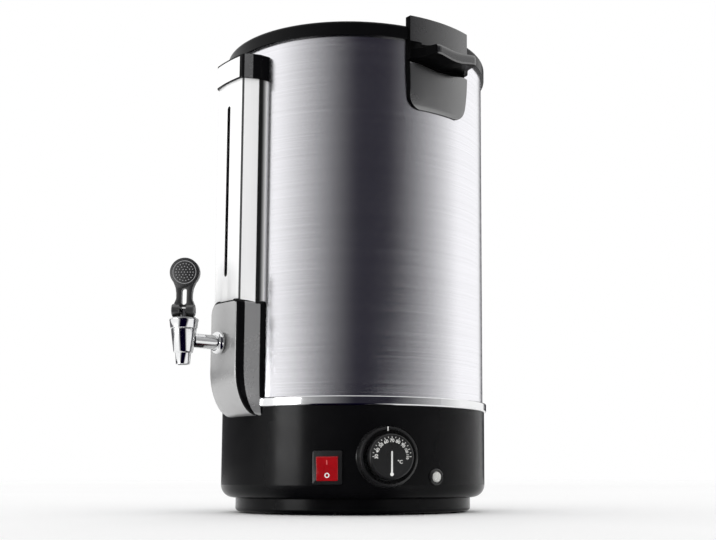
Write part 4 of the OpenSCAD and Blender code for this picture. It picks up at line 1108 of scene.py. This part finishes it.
@dataclass
class RockerSwitch(Control):
    """Frame round the red rocker, with its two marks."""

    angle: float = -47.0
    height: float = 41.5
    wide: float = 25.7
    tall: float = 29.0
    corner: float = 1.5
    rocker_wide: float = 19.0
    rocker_tall: float = 23.0
    tip: float = 7.0
    pivot: float = 121.0
    valley: float = 8.2
    mark_up: float = 5.6
    mark_lift: float = 0.75

    def frame_piece(self) -> None:
        """Makes the frame: a slab whose opening is inset and pushed in."""
        u, r = self.housing, self.corner
        corners = [p for sx, sy, a in ((1, -1, -90), (1, 1, 0), (-1, 1, 90), (-1, -1, 180))
                   for p in arc(sx * (self.wide / 2 - r), sy * (self.tall / 2 - r), r, a, a + 90, 4)]
        rim = slab("switch_rim", corners, u - 6, u + 1.6)
        with editing(rim):
            select_facing(rim, lambda normal: normal.z > 0.9)
            bpy.ops.mesh.inset(thickness=0.0008)
            bpy.ops.mesh.inset(thickness=0.0016, depth=-0.0006)
            bpy.ops.mesh.inset(thickness=0.0005)
            bpy.ops.mesh.extrude_region_move(TRANSFORM_OT_translate={"value": (0, 0, -0.0062)})
        soften(rim, 0.00035, 2)
        keep(place(rim, self.spot()), Finish.BEZEL, "satin_black", URN, "switch_frame")

    def rocker_piece(self) -> None:
        """Makes the rocker from its side outline, tipped to its rest, and its marks."""
        half, tip = self.rocker_tall / 2 - 1, math.radians(self.tip)
        high = self.valley + half * math.tan(tip)
        outline = [(-4, -3), (3, -half), (high, -half), (self.valley + 0.5, -3), (self.valley + 0.18, 0),
                   (self.valley + 0.5, 3), (high, half), (3, half), (-4, 3)]
        rocker = slab("rocker_cap", outline, -self.rocker_wide / 2, self.rocker_wide / 2)
        soften(rocker, 0.0007, 3, 25)
        base = self.spot(self.pivot) @ Matrix.Rotation(tip, 4, "X")
        place(rocker, base @ Matrix.Rotation(-math.pi / 2, 4, "Y"))
        keep(rocker, Finish.RED, "rocker_red", "rocker", "switch_rocker")
        bar = slab("mark_on", [(-0.5, -2), (0.5, -2), (0.5, 2), (-0.5, 2)], 0, 0.12)
        ring = turned("mark_off", [(1.3, 0.12), (2.2, 0.12), (2.2, 0), (1.3, 0), (1.3, 0.12)], 32)
        # The I mark is printed in a dim red: painted shade on the rocker's upper half.
        for mark, side, finish in ((bar, 1, Finish.FAINT), (ring, -1, Finish.PRINT)):
            spot = Matrix.Translation((0, side * self.mark_up * MM, (self.valley + self.mark_lift) * MM))
            place(mark, base @ spot @ Matrix.Rotation(side * tip, 4, "X"))
            keep(mark, finish, "rocker_red", "rocker")

    def build(self) -> None:
        """Makes the switch."""
        self.frame_piece()
        self.rocker_piece()


@dataclass
class PilotLamp(Control):
    """Rim and milky lens of the pilot lamp."""

    angle: float = -2.0
    height: float = 33.5
    radius: float = 7.5

    def build(self) -> None:
        """Makes the rim and the lens."""
        u, r = self.housing, self.radius
        rim = turned("lamp_rim", [
            (r - 2.5, u - 4), (r - 2.5, u + 1.4), (r - 2.1, u + 2.2), (r - 1.4, u + 2.4), (r - 0.6, u + 1.9),
            (r, u + 0.9), (r, u - 0.8), (r - 1.6, u - 0.8), (r - 1.6, u - 4), (r - 2.5, u - 4)], 48)
        keep(self.seated(rim, u - 2), Finish.BEZEL, "satin_black", URN, "lamp_bezel")
        lens = turned("lamp_dome", [(0, u - 4), (r - 2.6, u - 4), (r - 2.6, u + 1.2), (r - 3.1, u + 2.1),
                                    (r - 4.4, u + 2.8), (r - 6, u + 3.2), (0, u + 3.3)], 48)
        keep(place(lens, self.spot()), Finish.LENS, "lamp_lens", URN, "lamp_lens")


# ---------------------------------------------------------------- gauge column, cap and tap bracket

@dataclass
class Shroud:
    """Outline of the tap bracket, seen from above."""

    front: float = 146.6
    crown: float = 1.6
    half: float = 23.05
    back_half: float = 28.55
    back: float = 125.7
    corner: float = 3.0
    side_stops: tuple[float, ...] = (0, 0.05, 0.2, 0.4, 0.67, 0.85)
    steps: int = 12

    def across(self) -> list[tuple[float, float]]:
        """Gives the outline from the right rear over the front to the left rear.

        Returns:
            Corners across and outward.
        """
        lean = math.degrees(math.atan2(self.back_half - self.half, self.front - self.back))
        rear_u = math.sqrt(self.back ** 2 - self.back_half ** 2)
        span, turn_u = self.half - self.corner, self.front - self.corner
        side = [(self.back_half + (self.half - self.back_half) * t, rear_u + (turn_u - rear_u) * t)
                for t in self.side_stops]
        right = side + arc(span, turn_u, self.corner, lean, 84, 7)
        shares = [1 - k / self.steps for k in range(1, self.steps + 1)]
        front = [((span - 0.6) * t, self.front + self.crown * (1 - t ** 2)) for t in shares]
        half = right + front
        return half + [(-v, u) for v, u in reversed(half[:-1])]


@dataclass
class TapBracket:
    """Moulded bracket that carries the tap: a shell with a tucked-in chin."""

    shape: Shroud
    top: float = 190.4
    chin_top: float = 130.0
    chin_low: float = 89.0
    left_drop: tuple[float, float] = (11.0, 15.0)
    right_drop: tuple[float, float] = (4.0, 4.0)
    # Where the front corner's painted dark reflection, the side's painted shade and the back's black painted
    # shade begin; the top band gets a painted dark reflection.
    stripe_from: float = 21.8
    side_from: float = 25.0
    rear_from: float = 28.3
    edge_band: float = 1.6
    levels: tuple[float, ...] = (135.0, 145.0, 160.0, 172.0)
    wall: float = 1.4

    def reach(self, z: float) -> float:
        """Gives the share of the full depth that the front keeps at a height."""
        t = min(1.0, max(0.0, (self.chin_top - z) / (self.chin_top - self.chin_low)))
        return math.sqrt(1 - t ** 2)

    def narrow(self, v: float, z: float) -> float:
        """Gives how far the rounded top draws an edge in at a height.

        Args:
            v: Place across; its sign tells the side.
            z: The height.

        Returns:
            The distance drawn in.
        """
        tall, wide = self.left_drop if v < 0 else self.right_drop
        over = min(1.0, max(0.0, (z - self.top + tall) / tall))
        return wide * (1 - math.sqrt(1 - over ** 2))

    def rows(self) -> list[list[tuple[float, float, float]]]:
        """Gives the shell's levels from the chin to the top edge.

        Returns:
            Points of each level.
        """
        chin, drop = self.chin_top - self.chin_low, self.left_drop[0]
        levels = [self.chin_top - chin * math.cos(math.pi / 2 * k / 16) for k in range(17)]
        levels += [*self.levels, self.top - drop]
        levels += [self.top - drop * (1 - math.sin(math.pi / 2 * k / 10)) for k in range(1, 11)]
        grid = []
        for z in levels:
            row = []
            for v, u in self.shape.across():
                side = v * (1 - self.narrow(v, z) / self.shape.half)
                rear, full = (math.sqrt(self.shape.back ** 2 - w ** 2) for w in (side, v))
                row.append((side, z, rear + max(0.0, u - full) * self.reach(z)))
            grid.append(row)
        return grid

    def finish_of(self, middle: Vector, normal: Vector) -> Finish:
        """Gives each face its finish by its column of the shell: a grey front with a painted dark reflection
        on its corners and top edge, painted shade on the grey sides and black painted shade along the back.

        Args:
            middle: The face's middle, across, up and outward.
            normal: The face's direction.

        Returns:
            The face's finish.
        """
        column = abs(middle.x) / (1 - self.narrow(middle.x, middle.y) / self.shape.half)
        # The top band gets a painted dark reflection and the back a black painted shade.
        if middle.y > self.top - self.edge_band or column > self.rear_from:
            return Finish.GLOSS_BLACK
        # The side is a darker copy of the grey front: painted shade.
        if column > self.side_from:
            return Finish.SHROUD_SIDE
        # The front corner gets a painted dark reflection.
        return Finish.GLOSS_BLACK if column > self.stripe_from else Finish.SHROUD

    def build(self) -> None:
        """Makes the bracket."""
        shell = skin("bracket_shell", self.rows())
        apply(shell, "SOLIDIFY", thickness=self.wall * MM, offset=-1.0)
        tidy(shell)
        soften(shell, 0.0005, 2, 50)
        place(shell, outward(FRONT))
        parted(shell, FRONT, self.finish_of)
        keep(shell, None, "satin_grey", URN, "tap_bracket")


@dataclass
class GaugeColumn:
    """Sight-gauge cover, its cap and the cap's plate, with painted dark reflections on their edges and a
    painted sheen on the cap's sides.
    """

    # Beyond this the cover's corners get a painted dark reflection.
    cover_edge: float = 20.6
    cover_front: float = 143.5
    slot_half: float = 3.2
    # From here outward the cap's sides get a painted sheen.
    cap_grey: float = 137.5
    # Beyond this the plate's right edge gets a painted dark reflection.
    plate_half: float = 18.6

    def cover_finish(self, middle: Vector, normal: Vector) -> Finish:
        """Gives the corners a painted dark reflection and the slot's walls painted shade; the rest is sheet.

        Args:
            middle: The face's middle, across, up and outward.
            normal: The face's direction.

        Returns:
            The face's finish.
        """
        # The slot's walls get painted shade.
        if abs(middle.x) < self.slot_half and normal.z < 0.6:
            return Finish.DEEP_BLACK
        # The corners get a painted dark reflection.
        corner = abs(middle.x) > self.cover_edge and middle.z > self.cover_front
        return Finish.EDGE if corner and 0.15 < abs(normal.x) < 0.97 else Finish.SHEET

    def cover(self) -> None:
        """Rounds the cover's corners, paints a dark reflection on them and paints shade on the slot's walls.
        """
        sheet = taken("gauge_cover", "gauge_cover_sheet", 0.0011, 3, 40)
        parted(sheet, FRONT, self.cover_finish)
        keep(sheet, None, "brushed_steel", URN, "gauge_cover")

    def cap(self) -> None:
        """Rounds the cap and gives the front part of its sides a grey painted sheen; its corners and other
        faces stay black.
        """
        cap = taken("gauge_cap", "gauge_cap_moulding", 0.0009, 3, 30)
        with editing(cap):
            bpy.ops.mesh.bisect(plane_co=(0, -self.cap_grey * MM, 0), plane_no=(0, 1, 0))
        # The front of the cap's sides gets a painted sheen.
        parted(cap, FRONT, lambda middle, normal: Finish.CAP_SIDE
               if abs(normal.x) > 0.9 and middle.z > self.cap_grey else Finish.GLOSS_BLACK)
        keep(cap, None, "gloss_black", URN, "gauge_cap")

    def plate(self) -> None:
        """Rounds the cap's plate and gives its right edge a painted dark reflection."""
        plate = taken("cap_plate", "cap_face", 0.0003, 2, 40)
        with editing(plate):
            bpy.ops.mesh.bisect(plane_co=(self.plate_half * MM, 0, 0), plane_no=(1, 0, 0))
        # The plate's right edge gets a painted dark reflection.
        parted(plate, FRONT, lambda middle, normal: Finish.SHEET
               if middle.x < self.plate_half else Finish.GLOSS_BLACK)
        keep(plate, None, "brushed_steel", URN, "cap_plate")

    def build(self) -> None:
        """Makes the cover, the cap and its plate."""
        self.cover()
        self.cap()
        self.plate()


# ---------------------------------------------------------------- tap lever

@dataclass
class TapLever:
    """Round-headed lever with a slotted neck and a fork over the tap's stem."""

    angle: float = -40.0
    reach: float = 0.187
    pin: float = 178.6
    fork: float = 19.5
    gap: float = 5.4
    neck: float = 13.5
    head: float = 13.0
    rise: float = 34.0
    thick: float = 6.5
    slot: float = 2.3
    cam: float = 5.6
    offset: float = 3.0

    def outline(self) -> list[tuple[float, float]]:
        """Gives the lever's outline from the right foot over the head to the left foot.

        Returns:
            Corners across and up.
        """
        head = self.pin + self.rise
        half, waist = self.fork / 2, self.neck / 2
        right = [(half, self.pin - 2), (half - 0.2, self.pin + 2.5), (half - 0.9, self.pin + 4.8)]
        right += [(waist + (half - 1.2 - waist) * (1 - eased(t / 5)), self.pin + 5.4 + 5.6 * t / 5)
                  for t in range(1, 6)]
        right += [(waist + 0.1, self.pin + 15.5), (waist + 0.75, self.pin + 20)]
        return right + arc(0, head, self.head, -42, 222, 44) + [(-x, z) for x, z in reversed(right)]

    def base(self) -> Matrix:
        """Gives the lever's place at the tap's axis."""
        return Matrix.Translation((0, -self.reach, 0)) @ outward(self.angle)

    def blade(self) -> bpy.types.Object:
        """Cuts the blade, rims its face and opens its slot.

        Returns:
            The blade.
        """
        half = self.thick / 2
        blade = slab("lever_blade", self.outline(), -half, half - 0.1)
        with editing(blade):
            select_facing(blade, lambda normal: abs(normal.z) > 0.9)
            bpy.ops.mesh.inset(thickness=0.0012)
            bpy.ops.mesh.inset(thickness=0.0004, depth=-0.0006)
        low, high = self.pin + 7.4, self.pin + self.rise - self.head - 3.6
        slot = slab("slot", arc(0, high, self.slot, 0, 180, 10) + arc(0, low, self.slot, 180, 360, 10), -9, 9)
        cut(blade, slot)
        gap = self.gap / 2
        way = slab("way", [(-gap, self.pin - 12), (gap, self.pin - 12), (gap, self.pin + 3.3),
                           (-gap, self.pin + 3.3)], -20, 20)
        cut(blade, way)
        soften(blade, 0.0003, 2, 40)
        return blade

    def cheeks(self) -> list[bpy.types.Object]:
        """Turns the two cam cheeks of the fork.

        Returns:
            The cheeks.
        """
        made = []
        wide = (self.fork - self.gap) / 2
        for side in (-1, 1):
            cheek = turned("cheek", [
                (0, -wide / 2), (self.cam - 0.5, -wide / 2), (self.cam, 0.5 - wide / 2),
                (self.cam, wide / 2 - 0.5), (self.cam - 0.5, wide / 2), (0, wide / 2)], 48)
            spot = Matrix.Translation((side * (self.gap + wide) / 2 * MM, self.pin * MM, self.offset * MM))
            made.append(place(cheek, spot @ Matrix.Rotation(math.pi / 2, 4, "Y")))
        return made

    def disc(self) -> list[bpy.types.Object]:
        """Makes the ringed thumb disc with its pattern of pips.

        Returns:
            The ring and the pips.
        """
        face = self.thick / 2 - 0.75
        middle = Matrix.Translation((0, (self.pin + self.rise) * MM, 0))
        ring = turned("disc_rim", [(9.6, face), (9.6, face + 0.5), (9.9, face + 0.7), (10.3, face + 0.7),
                                   (10.6, face + 0.4), (10.6, face), (9.6, face)], 64)
        made = [place(ring, middle)]
        seed = turned("pip", [(0, 0.7), (0.5, 0.65), (0.8, 0.35), (0.85, 0), (0, 0)], 12)
        for radius, count in ((0.0, 1), (2.6, 6), (5.1, 12), (7.6, 18)):
            for k in range(count):
                a = 2 * math.pi * k / count
                spot = Vector((radius * math.cos(a) * MM, radius * math.sin(a) * MM, face * MM))
                made.append(copied(seed, "pip", middle @ Matrix.Translation(spot)))
        bpy.data.objects.remove(seed)
        return made

    def build(self) -> None:
        """Makes the lever."""
        lever = place(joined("lever_body", [self.blade(), *self.cheeks()]), self.base())
        keep(lever, Finish.LEVER, "satin_black", "tap_lever", "tap_lever")
        disc = place(joined("lever_disc", self.disc()), self.base())
        keep(disc, Finish.PIPS, "satin_black", "tap_lever")


@dataclass
class TapValve:
    """Chrome body of the tap: cone, spout, pipe, flange and bonnet."""

    reach: float = 187.0
    pipe_z: float = 153.0

    def at_axis(self, obj: bpy.types.Object) -> bpy.types.Object:
        """Moves a turned piece to the tap's axis."""
        return place(obj, Matrix.Translation((0, -self.reach * MM, 0)))

    def along_pipe(self, obj: bpy.types.Object) -> bpy.types.Object:
        """Lays a turned piece along the tap's pipe."""
        return place(obj, outward(FRONT, 0, self.pipe_z * MM))

    def build(self) -> None:
        """Turns the chrome pieces."""
        cone = turned("tap_cone", [
            (4.4, 139), (4.4, 131.4), (4.8, 131.05), (5.6, 131.05), (6.0, 131.5), (6.75, 140.9), (6.9, 141.2),
            (7.7, 141.3), (8.15, 141.7), (8.4, 142.6), (11.1, 161.4), (11.15, 162.2), (10.9, 162.55),
            (4.4, 162.55), (4.4, 139)], 96)
        pipe = turned("tap_pipe", [(0, 156.2), (6.5, 156.2), (6.5, 178), (0, 178)], 72)
        body = joined("tap_casting", [self.at_axis(cone), self.along_pipe(pipe)])
        keep(body, Finish.CHROME, "polished_steel", URN, "tap_body")
        ring = turned("tap_flange", [
            (6.6, 151.3), (9.6, 151.3), (10.15, 151.8), (10.2, 152.8), (10.0, 154.2), (9.2, 155.4),
            (8.2, 156.0), (7.4, 156.15), (6.6, 156.15), (6.6, 151.3)], 72)
        keep(self.along_pipe(ring), Finish.CHROME, "polished_steel", URN, "tap_ring")
        bonnet = turned("tap_cap_nut", [
            (7.0, 162.65), (11.2, 162.65), (11.65, 163.0), (11.75, 163.6), (12.35, 169.2), (12.65, 169.9),
            (12.7, 171.0), (12.4, 171.5), (11.6, 171.6), (10.9, 171.2), (10.6, 170.9), (7.0, 170.9),
            (7.0, 162.65)], 96)
        keep(self.at_axis(bonnet), Finish.CHROME, "polished_steel", URN, "tap_bonnet")


# ---------------------------------------------------------------- lid knob

@dataclass
class LidKnob:
    """Turned lid knob with a waist, a domed top and a fine ring."""

    foot: float = 459.1
    radius: float = 21.0
    height: float = 24.0

    def build(self) -> None:
        """Makes the knob."""
        r, z, h = self.radius, self.foot, self.height
        profile = [(0, z), (r - 6.6, z), (r - 6.1, z + 0.6), (r - 6.4, z + 1.6)]
        profile += [(r - 8.2, z + 4.2), (r - 8.8, z + 7.0), (r - 8.0, z + 9.6), (r - 5.2, z + 12.2)]
        profile += [(r - 2.0, z + 13.9), (r - 0.6, z + 15.0), (r - 0.1, z + 16.6), (r - 0.3, z + 18.4)]
        profile += [(r - 1.4, z + 20.2), (r - 3.0, z + 21.3), (r - 3.4, z + 21.1), (r - 3.8, z + 21.5)]
        profile += [(r - 8, z + h - 1.2), (r - 14, z + h - 0.4), (0, z + h - 0.15)]
        knob = turned("lid_knob_body", profile, 96)
        smooth(knob, 50)
        keep(knob, Finish.KNOB, "satin_black", "lid", "lid_knob")


# ---------------------------------------------------------------- studio

@dataclass(frozen=True)
class Flag:
    """A dark sheet that only reflections see, in metres and degrees.

    Its dark starts and is full at two cosines from the direction of its angle; elsewhere it is clear.
    """

    name: str
    radius: float
    height: float
    angle: float
    start: float
    full: float
    lets_through: float
    lift: float = 0.0006
    steps: int = 96
    dark: tuple[float, ...] = (0.001, 0.0, 0.0085, 1.0)

    def material(self) -> bpy.types.Material:
        """Builds the material: the faint blue dark shows where the sheet isn't clear.

        Returns:
            The material.
        """
        g = Graph(f"soft {self.name}")
        a = math.radians(self.angle)
        flat = g.add("ShaderNodeVectorMath", operation="MULTIPLY", in0=g.coords.outputs["Object"],
                     in1=(1, 1, 0))
        unit = g.add("ShaderNodeVectorMath", operation="NORMALIZE", in0=flat.outputs[0])
        toward = g.add("ShaderNodeVectorMath", operation="DOT_PRODUCT", in0=unit.outputs[0],
                       in1=(math.cos(a), math.sin(a), 0))
        opening = g.spread(toward.outputs["Value"], 1.0, self.lets_through, self.start, self.full)
        open_part = g.add("ShaderNodeBsdfTransparent").outputs[0]
        dark_part = g.add("ShaderNodeEmission", Color=self.dark, Strength=1.0).outputs[0]
        return g.surface(g.add("ShaderNodeMixShader", Fac=opening, in1=dark_part, in2=open_part))

    def build(self) -> None:
        """Stands the sheet round the urn, or lays it on the floor where it has no height."""
        if self.height:
            bpy.ops.mesh.primitive_cylinder_add(vertices=self.steps, radius=self.radius, depth=self.height,
                                                end_fill_type="NOTHING", location=(0, 0, self.height / 2))
        else:
            bpy.ops.mesh.primitive_circle_add(vertices=self.steps, radius=self.radius, fill_type="NGON",
                                              location=(0, 0, self.lift))
        obj = newest(self.name)
        bpy.ops.object.transform_apply()
        obj.data.materials.append(self.material())
        obj.visible_camera = obj.visible_diffuse = obj.visible_shadow = obj.visible_transmission = False


FLAGS = (Flag("flag", 3.0, 4.0, -22.4, 0.06, 0.97, 0.02),
         Flag("rim_flag", 2.8, 4.0, 130.0, 0.93, 0.98, 0.0),
         Flag("low_flag", 2.9, 0.4, -166.0, 0.66, 0.86, 0.1),
         Flag("floor_flag", 3.0, 0.0, -44.0, 0.8, 0.93, 0.0))


@dataclass
class Studio:
    """Pale floor, white surround, dark flags for the metal, strip light and camera."""

    floor_half: float = 6.0
    strip_angle: float = -93.0
    strip_reach: float = 2.4
    strip_height: float = 0.16
    strip_size: tuple[float, float] = (0.95, 0.3)
    strip_watts: float = 8.5
    camera_angle: float = -40.5
    camera_place: tuple[float, float, float] = (0.873, -0.652, 0.035)
    camera_pitch: float = 6.5
    lens: float = 55.8
    shift: tuple[float, float] = (-0.0962, 0.11)

    def floor(self) -> None:
        """Lays the floor."""
        bpy.ops.mesh.primitive_plane_add(size=2 * self.floor_half)
        floor = newest("floor")
        g = Graph("pale floor")
        floor.data.materials.append(g.finish(
            Base_Color=g.tint(g.noise((2, 2, 2), 2), (0.985, 0.985, 0.985), (1.0, 1.0, 1.0)),
            Roughness=0.9, Specular_IOR_Level=0.1))

    def surround(self) -> None:
        """Sets the white surround."""
        world = bpy.data.worlds.new("white surround")
        world.use_nodes = True
        sky = world.node_tree.nodes["Background"]
        sky.inputs["Color"].default_value, sky.inputs["Strength"].default_value = (1.0, 1.0, 1.0, 1.0), 1.0
        bpy.context.scene.world = world

    def stood(self, name: str, data: bpy.types.ID) -> bpy.types.Object:
        """Puts a lamp or a camera into the scene.

        Args:
            name: Its name.
            data: The lamp or the camera.

        Returns:
            The object that holds it.
        """
        holder = bpy.data.objects.new(name, data)
        bpy.context.collection.objects.link(holder)
        return holder

    def strip(self) -> None:
        """Stands one low soft strip light at the left."""
        light = bpy.data.lights.new("strip", "AREA")
        light.shape, light.energy = "RECTANGLE", self.strip_watts
        light.size, light.size_y = self.strip_size
        holder = self.stood("strip", light)
        a = math.radians(self.strip_angle)
        holder.location = (self.strip_reach * math.cos(a), self.strip_reach * math.sin(a), self.strip_height)
        holder.rotation_euler = (math.radians(90), 0, a + math.radians(90))

    def spare(self, name: str) -> None:
        """Keeps the strip light off one piece, which mirrors the surround alone.

        Args:
            name: The piece's name.
        """
        spared = bpy.data.collections.new("spared")
        spared.objects.link(bpy.data.objects[name])
        spared.collection_objects[0].light_linking.link_state = "EXCLUDE"
        bpy.data.objects["strip"].light_linking.receiver_collection = spared

    def camera(self) -> None:
        """Sets the camera at its place and view."""
        data = bpy.data.cameras.new("camera")
        data.lens, data.sensor_width = self.lens, 36.0
        data.shift_x, data.shift_y = self.shift
        data.dof.use_dof = False
        holder = self.stood("camera", data)
        holder.location = self.camera_place
        pitch, turn = math.radians(90 + self.camera_pitch), math.radians(90 + self.camera_angle)
        holder.rotation_euler = (pitch, 0, turn)
        bpy.context.scene.camera = holder

    def build(self) -> None:
        """Builds the whole studio."""
        self.floor()
        self.surround()
        for flag in FLAGS:
            flag.build()
        self.strip()
        self.camera()
        bpy.context.scene.view_settings.view_transform = "Standard"
        LOG.info("studio set")


def main() -> None:
    """Builds the studio and each sub-assembly."""
    logging.basicConfig(level=logging.INFO, format="%(name)s: %(message)s")
    bpy.ops.object.select_all(action="DESELECT")
    studio = Studio()
    studio.build()
    dress_frame()
    Jacket().build()
    studio.spare("jacket_sheet")
    SideHandle().build()
    TapBracket(Shroud()).build()
    GaugeColumn().build()
    TapValve().build()
    TapLever().build()
    ThermostatDial().build()
    RockerSwitch().build()
    PilotLamp().build()
    LidKnob().build()


if __name__ == "__main__":
    main()
